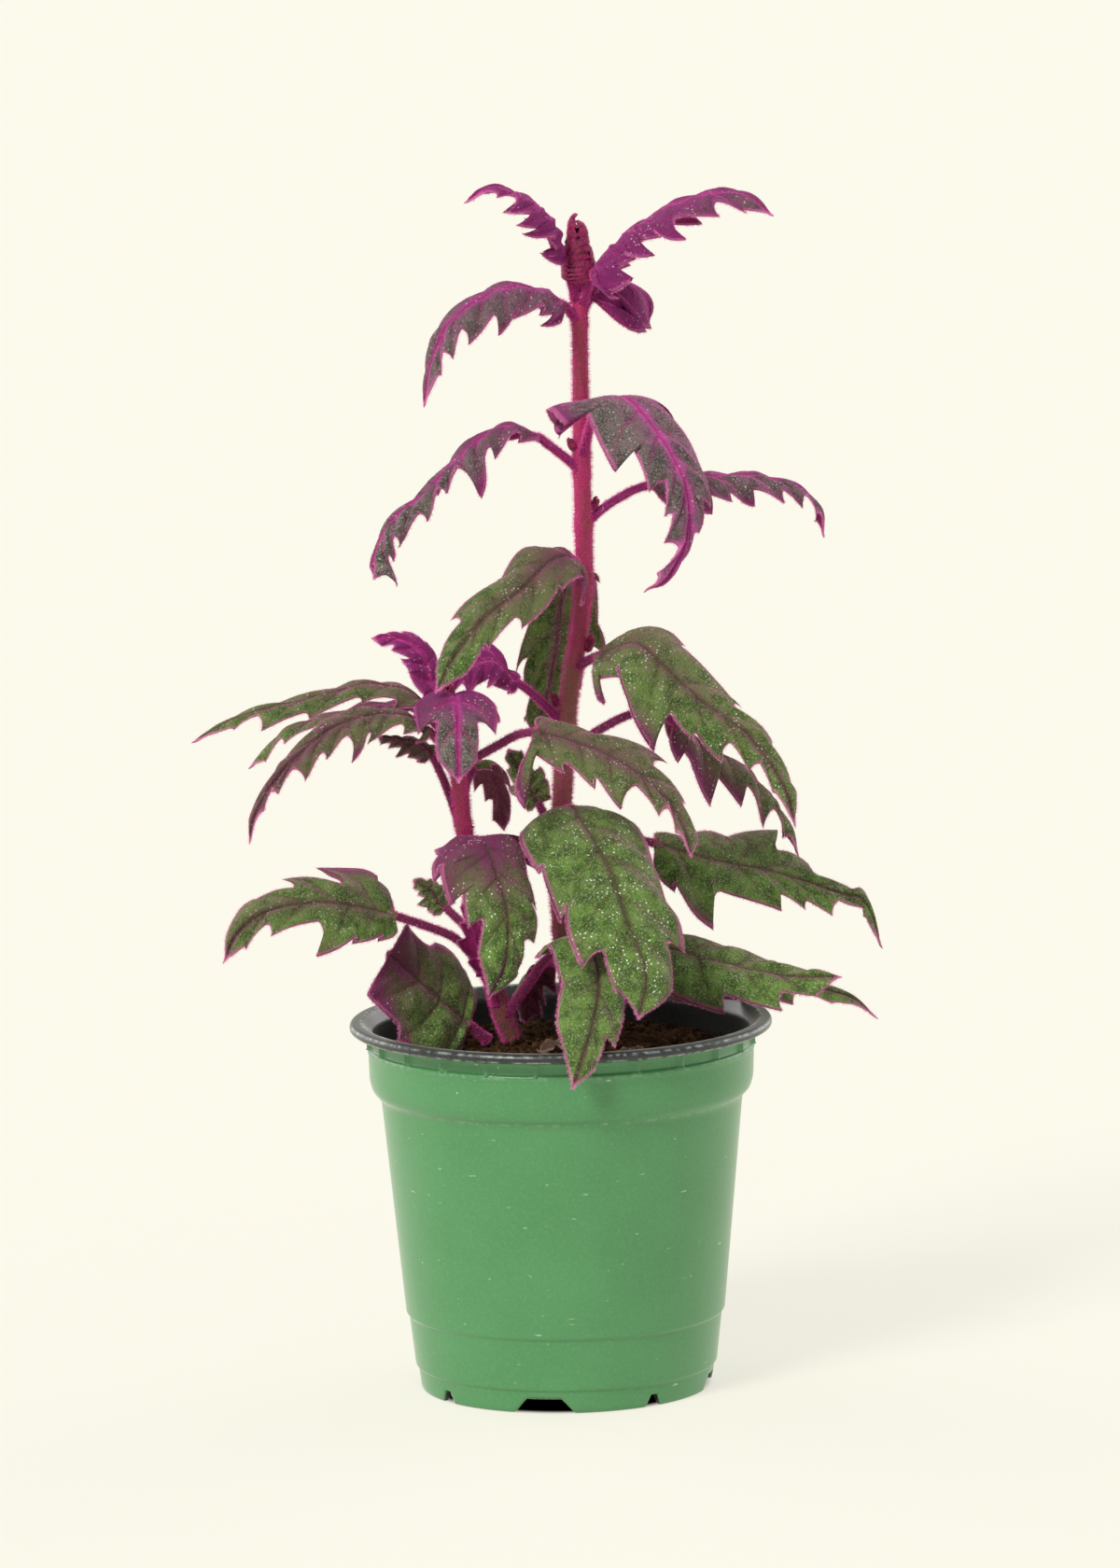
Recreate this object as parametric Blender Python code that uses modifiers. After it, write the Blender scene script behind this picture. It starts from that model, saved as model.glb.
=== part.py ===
"""Purple velvet plant growing in a round plastic nursery pot, at its real size.

Units are metres, +Z is up and the plant faces -Y. The origin is on the ground under the
middle of the plant's spread. Every piece hangs from an empty that stands on the pot's axis,
so lengths below are measured from that axis, in millimetres where MM is named.
"""

import bmesh
import bpy
import numpy as np
from math import cos, pi, radians, sin
from mathutils import Vector

MM = 0.001

# Where the pot's axis stands, so that the origin is under the middle of the leaves' spread
POT_AXIS = (0.0035, 0.0025)

# Pot
POT_HEIGHT = 0.097
LIP_RADIUS = 0.055
LIP_INNER_RADIUS = 0.0517
LIP_THICKNESS = 0.0026
COLLAR_RADIUS = 0.0502
COLLAR_BOTTOM = 0.0785
COLLAR_TOP = 0.0895
WALL_TOP_RADIUS = 0.0470
BAND_TOP = 0.0195
BAND_STEP = 0.0007
FOOT_RADIUS = 0.0380
FOOT_HEIGHT = 0.0056
WALL = 0.0011
FLOOR_UNDERSIDE = 0.0052
POT_STEPS = 48

# Drain notches in the foot ring, wide and narrow in turn
NOTCH_COUNT = 8
FIRST_NOTCH = radians(-81)
WIDE_NOTCH = {"bottom": 0.0163, "top": 0.0091, "height": 0.0042}
NARROW_NOTCH = {"bottom": 0.0050, "top": 0.0020, "height": 0.0033}

# Soil
SOIL_TOP = 0.0900
SOIL_EDGE_DROP = 0.0025
GAP = 0.0003

# Stems: route of the stem's middle in millimetres, radius at the foot and at the top
STEMS = {
    "main_stem": {
        "route": [(4, 6, 91), (2, 6, 111), (0, 6, 133), (1, 6, 148), (3, 5, 175), (6, 4, 195),
                  (8, 3, 212), (8, 1, 241), (8, 0, 261), (8, 0, 288)],
        "radii": (0.0027, 0.0019),
    },
    "side_stem": {
        "route": [(-13, 4, 91), (-16, 1, 101), (-19, -3, 113), (-22, -6, 124), (-23, -9, 136),
                  (-24, -12, 149), (-26, -16, 171), (-27, -18, 181)],
        "radii": (0.0023, 0.0018),
    },
}

# Leaves: the stem and the height where the leaf joins it, then the midrib's further points,
# all in millimetres; the share of the midrib that is leafstalk; the blade's half width in
# millimetres; how far its halves fold down, and its roll about the midrib, in degrees.
LEAVES = {
    "main_leaf_01": dict(stem="main_stem", at=285, stalk=0.22, half=10, fold=70, roll=-20,
                         rib=[(4, -3, 297), (1, -6, 306), (-6, -10, 312), (-14, -14, 315), (-20, -16, 312)]),
    "main_leaf_02": dict(stem="main_stem", at=284, stalk=0.12, half=13, fold=70, roll=25,
                         rib=[(13, -4, 294), (23, -8, 304), (36, -14, 311), (49, -19, 313), (57, -23, 308)]),
    "main_leaf_03": dict(stem="main_stem", at=280, stalk=0.08, half=12, fold=75, roll=-15,
                         rib=[(0, -6, 287), (-11, -12, 289), (-20, -17, 285), (-26, -20, 280), (-30, -22, 271),
                              (-32, -23, 261)]),
    "main_leaf_04": dict(stem="main_stem", at=282, stalk=0.1, half=9, fold=60, roll=15,
                         rib=[(14, 6, 286), (20, 13, 285), (23, 19, 281), (22, 21, 275)]),
    "main_leaf_05": dict(stem="main_stem", at=245, stalk=0.2, half=18, fold=32, roll=25,
                         rib=[(12, -10, 257), (19, -18, 261), (27, -27, 253), (34, -33, 240), (34, -35, 227),
                              (29, -34, 217), (24, -32, 213)]),
    "main_leaf_06": dict(stem="main_stem", at=241, stalk=0.18, half=10, fold=75, roll=-10,
                         rib=[(0, -3, 247), (-5, -6, 251), (-12, -8, 253), (-21, -11, 248), (-31, -14, 238),
                              (-41, -16, 230), (-45, -17, 223), (-46, -17, 216)]),
    "main_leaf_07": dict(stem="main_stem", at=227, stalk=0.25, half=9, fold=70, roll=10,
                         rib=[(17, 6, 232), (26, 11, 235), (44, 18, 236), (55, 23, 235), (64, 26, 232),
                              (70, 28, 226), (71, 29, 219)]),
    "main_leaf_08": dict(stem="main_stem", at=211, stalk=0.12, half=12, fold=40, roll=-35,
                         rib=[(5, -4, 218), (-1, -12, 218), (-8, -18, 212), (-17, -24, 206), (-25, -28, 197),
                              (-30, -30, 188)]),
    "main_leaf_09": dict(stem="main_stem", at=210, stalk=0.10, half=12, fold=30, roll=0,
                         rib=[(5, 10, 213), (2, 18, 204), (0, 24, 189), (-3, 27, 175), (-6, 27, 168)]),
    "main_leaf_10": dict(stem="main_stem", at=189, stalk=0.08, half=15, fold=45, roll=35,
                         rib=[(13, -3, 193), (21, -8, 196), (28, -13, 191), (38, -18, 182), (50, -22, 173),
                              (58, -25, 161), (61, -26, 151)]),
    "main_leaf_11": dict(stem="main_stem", at=167, stalk=0.38, half=11, fold=55, roll=20,
                         rib=[(17, 10, 174), (26, 15, 175), (34, 19, 169), (41, 22, 164), (51, 25, 156),
                              (60, 27, 144), (63, 28, 135)]),
    "main_leaf_12": dict(stem="main_stem", at=174, stalk=0.36, half=8, fold=45, roll=-30,
                         rib=[(-5, 4, 181), (-11, 3, 186), (-16, 1, 191), (-22, -3, 190), (-29, -8, 185)]),
    "main_leaf_13": dict(stem="main_stem", at=143, stalk=0.40, half=6, fold=30, roll=-50,
                         rib=[(-4, 12, 150), (-8, 17, 157), (-12, 20, 164)]),
    "main_leaf_14": dict(stem="main_stem", at=142, stalk=0.20, half=18, fold=35, roll=5,
                         rib=[(2, -4, 150), (4, -12, 154), (7, -22, 151), (13, -33, 142), (17, -42, 131),
                              (22, -49, 117), (20, -51, 106)]),
    "main_leaf_15": dict(stem="main_stem", at=137, stalk=0.25, half=13, fold=25, roll=45,
                         rib=[(12, 10, 142), (23, 13, 141), (40, 19, 135), (57, 26, 130), (74, 33, 123),
                              (80, 36, 120), (85, 39, 108)]),
    "main_leaf_16": dict(stem="main_stem", at=116, stalk=0.30, half=12, fold=40, roll=30,
                         rib=[(11, 2, 118), (24, -1, 116), (37, -4, 113), (49, -6, 110), (61, -8, 108),
                              (72, -9, 108)]),
    "main_leaf_17": dict(stem="main_stem", at=97, stalk=0.30, half=6, fold=30, roll=35,
                         rib=[(10, 14, 99), (22, 18, 100), (39, 23, 103), (52, 26, 103), (61, 28, 101),
                              (69, 30, 98), (77, 32, 95), (83, 33, 90)]),
    "main_leaf_18": dict(stem="main_stem", at=103, stalk=0.45, half=8, fold=30, roll=0,
                         rib=[(0, 14, 108), (-4, 20, 108), (-8, 25, 101), (-9, 27, 92)]),
    "main_leaf_19": dict(stem="main_stem", at=138, stalk=0.30, half=12, fold=35, roll=0,
                         rib=[(6, 20, 141), (11, 34, 137), (14, 44, 126), (15, 48, 112)]),
    "main_leaf_20": dict(stem="main_stem", at=120, stalk=0.30, half=10, fold=35, roll=0,
                         rib=[(8, 22, 124), (14, 38, 118), (18, 50, 108), (20, 56, 100)]),
    "side_leaf_01": dict(stem="side_stem", at=179, stalk=0.20, half=6, fold=50, roll=-20,
                         rib=[(-32, -13, 188), (-34, -13, 195), (-40, -12, 199), (-46, -11, 199)]),
    "side_leaf_02": dict(stem="side_stem", at=174, stalk=0.15, half=9, fold=50, roll=-25,
                         rib=[(-35, -23, 185), (-47, -26, 189), (-63, -30, 186), (-79, -34, 183), (-92, -37, 177)]),
    "side_leaf_03": dict(stem="side_stem", at=174, stalk=0.20, half=8, fold=50, roll=-10,
                         rib=[(-37, -12, 181), (-48, -8, 181), (-58, -5, 178), (-70, -3, 174), (-79, -2, 165)]),
    "side_leaf_04": dict(stem="side_stem", at=169, stalk=0.15, half=9, fold=55, roll=-30,
                         rib=[(-36, -29, 180), (-46, -38, 183), (-58, -46, 180), (-70, -52, 170), (-76, -55, 161),
                              (-78, -56, 154)]),
    "side_leaf_05": dict(stem="side_stem", at=178, stalk=0.15, half=10, fold=40, roll=0,
                         rib=[(-26, -25, 186), (-25, -33, 182), (-25, -38, 174), (-25, -39, 166)]),
    "side_leaf_06": dict(stem="side_stem", at=150, stalk=0.55, half=6, fold=40, roll=-10,
                         rib=[(-29, -9, 161), (-33, -8, 169), (-38, -5, 171), (-45, -3, 172)]),
    "side_leaf_07": dict(stem="side_stem", at=166, stalk=0.28, half=13, fold=40, roll=35,
                         rib=[(-16, -18, 171), (-8, -20, 175), (1, -23, 174), (15, -27, 169), (27, -31, 160),
                              (32, -34, 152), (34, -35, 145)]),
    "side_leaf_08": dict(stem="side_stem", at=159, stalk=0.20, half=6, fold=20, roll=0,
                         rib=[(-21, -8, 165), (-18, -2, 164), (-15, 2, 156), (-14, 3, 147)]),
    "side_leaf_09": dict(stem="side_stem", at=139, stalk=0.20, half=15, fold=35, roll=0,
                         rib=[(-21, -18, 146), (-19, -25, 148), (-15, -33, 138), (-13, -36, 129), (-14, -37, 118),
                              (-18, -35, 109)]),
    "side_leaf_10": dict(stem="side_stem", at=109, stalk=0.38, half=12, fold=20, roll=-50,
                         rib=[(-26, -8, 119), (-35, -12, 124), (-48, -17, 129), (-61, -22, 132), (-74, -27, 131),
                              (-82, -30, 126), (-86, -31, 119)]),
    "side_leaf_11": dict(stem="side_stem", at=120, stalk=0.45, half=5, fold=20, roll=-50,
                         rib=[(-29, 1, 126), (-33, 6, 130), (-37, 10, 132)]),
    "side_leaf_12": dict(stem="side_stem", at=101, stalk=0.30, half=5, fold=40, roll=0,
                         rib=[(-20, -9, 114), (-22, -13, 123), (-24, -14, 131)]),
    "side_leaf_13": dict(stem="side_stem", at=98, stalk=0.40, half=12, fold=35, roll=-20,
                         rib=[(-8, -4, 107), (-4, -12, 114), (3, -24, 121), (7, -33, 122), (10, -44, 114),
                              (8, -54, 104), (3, -61, 90)]),
    "base_leaf_01": dict(stem=None, at=0, stalk=0.20, half=13, fold=15, roll=-60,
                         rib=[(-19, 1, 91), (-28, -4, 100), (-36, -8, 108), (-44, -10, 116)]),
}

STALK_RADIUS = 0.0011
RIB_THICKNESS = 0.0009
LEAF_TEETH = 4

# Buds that sit in the angle between a leafstalk and the main stem: height, heading, size
BUDS = {
    "axil_bud_01": (245.5, 215, 0.0026),
    "axil_bud_02": (229.5, 20, 0.0026),
    "axil_bud_03": (192.5, -10, 0.0032),
    "axil_bud_04": (178.0, 170, 0.0028),
}

LEAF_GREEN = (0.10, 0.20, 0.06)
LEAF_PURPLE = (0.22, 0.03, 0.14)


# Materials and collections

def material(name, colour, roughness, metallic=0.0):
    """A Principled material in one colour."""
    made = bpy.data.materials.new(name)
    made.use_nodes = True
    shader = made.node_tree.nodes["Principled BSDF"]
    shader.inputs["Base Color"].default_value = (*colour, 1.0)
    shader.inputs["Roughness"].default_value = roughness
    shader.inputs["Metallic"].default_value = metallic
    return made


def clear_scene():
    """Remove whatever stands in the scene."""
    for thing in list(bpy.data.objects):
        bpy.data.objects.remove(thing, do_unlink=True)


def new_collection(name):
    made = bpy.data.collections.new(name)
    bpy.context.scene.collection.children.link(made)
    return made


def new_object(name, mesh, collection, colour, roughness, parent=None):
    """Put a mesh into the scene with a material of its own, parented to the pot's axis."""
    thing = bpy.data.objects.new(name, mesh)
    collection.objects.link(thing)
    thing.parent = parent
    if colour is not None:
        mesh.materials.append(material(name + "_finish", colour, roughness))
    return thing


# Curves and frames

def smooth_route(points, count):
    """Even steps along a Catmull-Rom curve through the points."""
    p = np.array(points, float)
    ends = np.vstack([2 * p[0] - p[1], p, 2 * p[-1] - p[-2]])
    t = np.linspace(0, 1, 24, endpoint=False)[:, None]
    spans = []
    for a, b, c, d in zip(ends[:-3], ends[1:-2], ends[2:-1], ends[3:]):
        spans.append(0.5 * (2 * b + (c - a) * t + (2 * a - 5 * b + 4 * c - d) * t**2
                            + (3 * b - a - 3 * c + d) * t**3))
    dense = np.vstack(spans + [p[-1:]])
    walked = np.r_[0, np.cumsum(np.linalg.norm(np.diff(dense, axis=0), axis=1))]
    steps = np.linspace(0, walked[-1], count)
    return np.stack([np.interp(steps, walked, dense[:, k]) for k in range(3)], axis=1)


def at_share(route, shares):
    """Places at given shares of an evenly stepped route."""
    whole = np.linspace(0, 1, len(route))
    return np.stack([np.interp(shares, whole, route[:, k]) for k in range(3)], axis=1)


def frames_along(route):
    """Tangent, side and upper normal at each point, carried along without twisting."""
    tangents = np.gradient(route, axis=0)
    tangents /= np.linalg.norm(tangents, axis=1)[:, None]
    side = np.array([-tangents[0, 1], tangents[0, 0], 0.0])
    side /= np.linalg.norm(side)
    sides = []
    for tangent in tangents:
        side = side - tangent * side.dot(tangent)
        side /= np.linalg.norm(side)
        sides.append(side)
    sides = np.array(sides)
    return tangents, sides, np.cross(tangents, sides)


def stem_route(name, count=200):
    return smooth_route(STEMS[name]["route"], count) * MM


def stem_point(name, height):
    """The middle of a stem at a height above the ground."""
    route = stem_route(name)
    return np.array([np.interp(height, route[:, 2], route[:, k]) for k in range(3)])


def stem_radius(name, height):
    route = stem_route(name)
    foot, top = STEMS[name]["radii"]
    return float(np.interp(height, (route[0, 2], route[-1, 2]), (foot, top)))


# Pot

def pot_profile():
    """Half section of the pot: down the outside, under the foot and up the inside."""
    band_bottom = FOOT_RADIUS + 0.0013
    outside = [
        (LIP_INNER_RADIUS, POT_HEIGHT),
        (LIP_RADIUS - 0.0006, POT_HEIGHT),
        (LIP_RADIUS, POT_HEIGHT - 0.0006),
        (LIP_RADIUS, POT_HEIGHT - LIP_THICKNESS + 0.0006),
        (LIP_RADIUS - 0.0007, POT_HEIGHT - LIP_THICKNESS),
        (COLLAR_RADIUS + 0.0002, POT_HEIGHT - LIP_THICKNESS - 0.0004),
        (COLLAR_RADIUS - 0.0002, COLLAR_TOP + 0.0012),
        (COLLAR_RADIUS + 0.0003, COLLAR_TOP),
        (COLLAR_RADIUS, COLLAR_TOP - 0.0010),
        (COLLAR_RADIUS - 0.0002, COLLAR_BOTTOM + 0.0030),
        (COLLAR_RADIUS - 0.0010, COLLAR_BOTTOM + 0.0004),
        (WALL_TOP_RADIUS + 0.0004, COLLAR_BOTTOM - 0.0014),
        (WALL_TOP_RADIUS, COLLAR_BOTTOM - 0.0026),
        (FOOT_RADIUS + 0.0036, BAND_TOP + 0.0006),
        (FOOT_RADIUS + 0.0036 - BAND_STEP, BAND_TOP - 0.0004),
        (band_bottom, FOOT_HEIGHT + 0.0006),
        (FOOT_RADIUS + 0.0007, FOOT_HEIGHT),
        (FOOT_RADIUS, 0.0),
    ]
    inside = [
        (FOOT_RADIUS - 0.0016, 0.0),
        (FOOT_RADIUS - 0.0010, FLOOR_UNDERSIDE),
        (0.0, FLOOR_UNDERSIDE),
        (0.0, FLOOR_UNDERSIDE + WALL),
        (FOOT_RADIUS - 0.0003, FLOOR_UNDERSIDE + WALL),
        (FOOT_RADIUS + 0.0036 - BAND_STEP - WALL, BAND_TOP),
        (WALL_TOP_RADIUS - WALL, COLLAR_BOTTOM - 0.0020),
        (COLLAR_RADIUS - WALL - 0.0006, COLLAR_BOTTOM + 0.0014),
        (COLLAR_RADIUS - WALL, COLLAR_TOP),
        (COLLAR_RADIUS - WALL, POT_HEIGHT - LIP_THICKNESS),
        (LIP_INNER_RADIUS, POT_HEIGHT),
    ]
    return outside + inside


def turned(name, profile, collection, colour, roughness, parent):
    """A profile of (radius, height) points turned about the pot's axis."""
    mesh = bpy.data.meshes.new(name)
    verts = [(r, 0.0, z) for r, z in profile]
    mesh.from_pydata(verts, [(i, i + 1) for i in range(len(verts) - 1)], [])
    thing = new_object(name, mesh, collection, colour, roughness, parent)
    screw = thing.modifiers.new("turn", "SCREW")
    screw.axis = "Z"
    screw.steps = screw.render_steps = POT_STEPS
    screw.use_merge_vertices = True
    screw.merge_threshold = 0.00001
    weld = thing.modifiers.new("close", "WELD")
    weld.merge_threshold = 0.00001
    return thing


def notch_cutter(index, size, cutters, parent):
    """A wedge through the foot ring: wide at the ground, narrow above."""
    heading = FIRST_NOTCH + index * 2 * pi / NOTCH_COUNT
    mesh = bpy.data.meshes.new("notch")
    shaper = bmesh.new()
    bmesh.ops.create_cube(shaper, size=1.0)
    for vert in shaper.verts:
        upper = vert.co.z > 0
        width = size["top"] if upper else size["bottom"] * 1.15
        vert.co.x *= 0.010
        vert.co.y *= width
        vert.co.z = size["height"] if upper else -0.002
    shaper.to_mesh(mesh)
    shaper.free()
    cutter = new_object(f"notch_{index + 1:02d}", mesh, cutters, None, 0, parent)
    cutter.location = (FOOT_RADIUS * cos(heading), FOOT_RADIUS * sin(heading), 0.0)
    cutter.rotation_euler = (0.0, 0.0, heading)
    cutter.hide_render = True
    cutter.display_type = "WIRE"
    return cutter


def build_pot(collection, cutters, parent):
    """The nursery pot, with its drain notches cut out of the foot ring."""
    pot = turned("nursery_pot", pot_profile(), collection, (0.12, 0.38, 0.15), 0.45, parent)
    for index in range(NOTCH_COUNT):
        size = NARROW_NOTCH if index % 2 else WIDE_NOTCH
        cut = pot.modifiers.new(f"cut_{index + 1:02d}", "BOOLEAN")
        cut.operation = "DIFFERENCE"
        cut.object = notch_cutter(index, size, cutters, parent)
    return pot


# Soil and what lies on it

def soil_height(radius):
    """A low mound: highest in the middle, down by SOIL_EDGE_DROP at the pot's wall."""
    return SOIL_TOP - SOIL_EDGE_DROP * (radius / COLLAR_RADIUS) ** 2


def build_soil(collection, parent):
    """The compost that fills the pot up to a little under its lip."""
    wall_gap = WALL + GAP + 0.0002
    edge = COLLAR_RADIUS - wall_gap
    mound = [(edge * share, soil_height(edge * share)) for share in (0.0, 0.35, 0.7, 1.0)]
    sides = [
        (COLLAR_RADIUS - wall_gap - 0.0006, COLLAR_BOTTOM + 0.0020),
        (WALL_TOP_RADIUS - wall_gap, COLLAR_BOTTOM - 0.0024),
        (FOOT_RADIUS + 0.0036 - BAND_STEP - wall_gap, BAND_TOP - 0.0004),
        (FOOT_RADIUS - 0.0010, FLOOR_UNDERSIDE + WALL + GAP),
        (0.0, FLOOR_UNDERSIDE + WALL + GAP),
    ]
    return turned("potting_soil", mound + sides, collection, (0.045, 0.028, 0.018), 0.95, parent)


# Stems

def build_stem(name, collection, parent):
    """A round stem that tapers upwards along its route."""
    spec = STEMS[name]
    route = smooth_route(spec["route"], 22) * MM
    curve = bpy.data.curves.new(name, "CURVE")
    curve.dimensions = "3D"
    curve.bevel_depth = 1.0
    curve.bevel_resolution = 2
    curve.use_fill_caps = True
    curve.resolution_u = 1
    curve.render_resolution_u = 0
    spline = curve.splines.new("POLY")
    spline.points.add(len(route) - 1)
    foot, top = spec["radii"]
    for index, (point, place) in enumerate(zip(spline.points, route)):
        share = index / (len(route) - 1)
        point.co = (*place, 1.0)
        point.radius = foot + (top - foot) * share
    stem = bpy.data.objects.new(name, curve)
    collection.objects.link(stem)
    stem.parent = parent
    curve.materials.append(material(name + "_finish", (0.36, 0.07, 0.13), 0.7))
    return stem


# Leaves

def leaf_route(spec, count):
    """The midrib from the stem's skin, or from the soil, to the leaf's tip."""
    points = np.array(spec["rib"], float) * MM
    if spec["stem"]:
        joint = stem_point(spec["stem"], spec["at"] * MM)
        away = points[0] - joint
        steepness = away[2] / np.linalg.norm(away)
        away[2] = 0.0
        away /= np.linalg.norm(away)
        reach = stem_radius(spec["stem"], spec["at"] * MM) + STALK_RADIUS * steepness + 1.5 * GAP
        points = np.vstack([joint + away * reach, points])
    return smooth_route(points, count)


def leaf_shares(stalk):
    """Stations along the midrib: four on the stalk, then two for each tooth and the tip."""
    blade = np.linspace(stalk, 1.0, 2 * LEAF_TEETH + 2)
    return np.r_[np.linspace(0.0, stalk, 4)[:-1], blade]


def blade_width(u):
    """Half width at share u of the blade: broad near the stalk, long drawn out to the tip."""
    full = 0.36**0.45 * 0.64**0.8
    return np.maximum(u, 0.0) ** 0.45 * np.maximum(1 - u, 0.0) ** 0.8 / full


def leaf_sections(spec):
    """Rings of eight points: a round stalk that opens into a folded, toothed blade."""
    route = leaf_route(spec, 160)
    shares = leaf_shares(spec["stalk"])
    tangents, sides, ups = (at_share(field, shares) for field in frames_along(route))
    middle = at_share(route, shares)
    fold = radians(spec["fold"])
    rings = []
    for k, share in enumerate(shares):
        u = (share - spec["stalk"]) / (1 - spec["stalk"])
        roll = radians(spec["roll"]) * min(1.0, max(0.0, share / spec["stalk"]))
        side = sides[k] * cos(roll) + ups[k] * sin(roll)
        up = ups[k] * cos(roll) - sides[k] * sin(roll)
        if u <= 0.001:
            ring = stalk_ring(STALK_RADIUS * (1 - 0.25 * share), side, up)
        else:
            tooth = 1.0 if k % 2 == len(shares) % 2 else 0.74
            width = max(spec["half"] * MM * blade_width(u) * tooth, 0.0006)
            lean = tangents[k] * width * (0.9 * u - 0.35)
            ring = blade_ring(width, fold, RIB_THICKNESS * (1 - 0.5 * u), side, up, lean)
        rings.append(middle[k] + ring)
    return rings


def stalk_ring(radius, side, up):
    angles = np.arange(8) * pi / 4
    return radius * (np.cos(angles)[:, None] * side + np.sin(angles)[:, None] * up)


def blade_ring(width, fold, thickness, side, up, lean):
    """Left margin over the top to the right margin, and back along the underside."""
    across = np.array([1.0, 0.5, 0.0, -0.5, -1.0, -0.5, 0.0, 0.5])
    lift = np.array([0.0, 0.35, 0.5, 0.35, 0.0, -0.35, -0.5, -0.35]) * thickness
    reach = np.sin(fold * across) / fold * width
    drop = (1 - np.cos(fold * across)) / fold * width
    return (reach[:, None] * side + (lift - drop)[:, None] * up
            + np.abs(across)[:, None] * lean)


def loft(name, rings):
    """A closed mesh through rings of equal count, with flat ends."""
    count = len(rings[0])
    verts = [tuple(point) for ring in rings for point in ring]
    faces = [tuple(range(count))[::-1]]
    for k in range(len(rings) - 1):
        low, high = k * count, (k + 1) * count
        for i in range(count):
            j = (i + 1) % count
            faces.append((low + i, low + j, high + j, high + i))
    faces.append(tuple((len(rings) - 1) * count + i for i in range(count)))
    mesh = bpy.data.meshes.new(name)
    mesh.from_pydata(verts, [], faces)
    shaper = bmesh.new()
    shaper.from_mesh(mesh)
    bmesh.ops.triangulate(shaper, faces=shaper.faces)
    bmesh.ops.recalc_face_normals(shaper, faces=shaper.faces)
    shaper.to_mesh(mesh)
    shaper.free()
    mesh.shade_smooth()
    return mesh


def build_leaf(name, spec, collection, parent):
    """One leaf, stalk and blade in one piece. Young leaves high on the stems are purple."""
    youth = min(1.0, max(0.0, (spec["rib"][0][2] - 130) / 160))
    colour = tuple(g + (p - g) * youth for g, p in zip(LEAF_GREEN, LEAF_PURPLE))
    return new_object(name, loft(name, leaf_sections(spec)), collection, colour, 0.8, parent)


# Buds

def pointed_bud(name, foot, direction, length, radius, collection, parent):
    """A plump closed bud: a ball drawn out to a point."""
    mesh = bpy.data.meshes.new(name)
    shaper = bmesh.new()
    bmesh.ops.create_uvsphere(shaper, u_segments=8, v_segments=6, radius=1.0)
    turn = Vector((0, 0, 1)).rotation_difference(Vector(direction))
    for vert in shaper.verts:
        share = (vert.co.z + 1) / 2
        swell = radius * (1.15 - 0.5 * share)
        bulb = Vector((vert.co.x * swell, vert.co.y * swell, share * length))
        vert.co = turn @ bulb + Vector(foot)
    shaper.to_mesh(mesh)
    shaper.free()
    mesh.shade_smooth()
    return new_object(name, mesh, collection, (0.30, 0.01, 0.07), 0.7, parent)


def build_buds(collection, parent):
    """The folded young leaves at the two stem ends and the buds in the leaf axils."""
    crown = stem_route("main_stem")[-1] + np.array([0.0, 0.0, 0.0006])
    pointed_bud("top_bud", crown, (-0.02, -0.12, 1.0), 0.019, 0.0032, collection, parent)
    shoot = stem_route("side_stem")[-1] + np.array([0.0, 0.0, 0.0006])
    pointed_bud("side_bud", shoot, (-0.1, -0.2, 1.0), 0.0075, 0.0022, collection, parent)
    for name, (height, heading, length) in BUDS.items():
        turn = radians(heading)
        outward = np.array([cos(turn), sin(turn), 0.0])
        reach = stem_radius("main_stem", height * MM) + GAP + length * 0.42
        foot = stem_point("main_stem", height * MM) + outward * reach
        pointed_bud(name, foot, (0.45 * cos(turn), 0.45 * sin(turn), 1.0), length * 1.5,
                    length * 0.45, collection, parent)


# Litter on the soil

def dry_leaf(name, rib, half, curl, collection, parent):
    """A brown fallen leaf that lies on the soil with its edges turned up."""
    route = smooth_route(np.array(rib, float) * MM, 120)
    shares = np.linspace(0, 1, 8)
    tangents, sides, ups = (at_share(field, shares) for field in frames_along(route))
    middle = at_share(route, shares)
    rings = []
    for k, share in enumerate(shares):
        width = max(half * MM * sin(pi * (0.08 + 0.86 * share)) ** 0.8, 0.0008)
        rings.append(middle[k] + blade_ring(width, -radians(curl), 0.0008, sides[k], ups[k],
                                            tangents[k] * 0))
    return new_object(name, loft(name, rings), collection, (0.20, 0.10, 0.06), 0.9, parent)


def chip(name, place, size, seed, collection, parent):
    """A small angular lump resting on the soil."""
    mesh = bpy.data.meshes.new(name)
    shaper = bmesh.new()
    bmesh.ops.create_icosphere(shaper, subdivisions=1, radius=size / 2)
    rough = np.random.default_rng(seed).uniform(0.8, 1.0, (len(shaper.verts), 3))
    for vert, factor in zip(shaper.verts, rough):
        vert.co = Vector(vert.co * Vector(factor))
    shaper.to_mesh(mesh)
    shaper.free()
    x, y = place
    lump = new_object(name, mesh, collection, (0.85, 0.82, 0.76), 0.9, parent)
    lump.location = (x, y, soil_height((x * x + y * y) ** 0.5) + size / 2 + GAP)
    return lump


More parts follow.
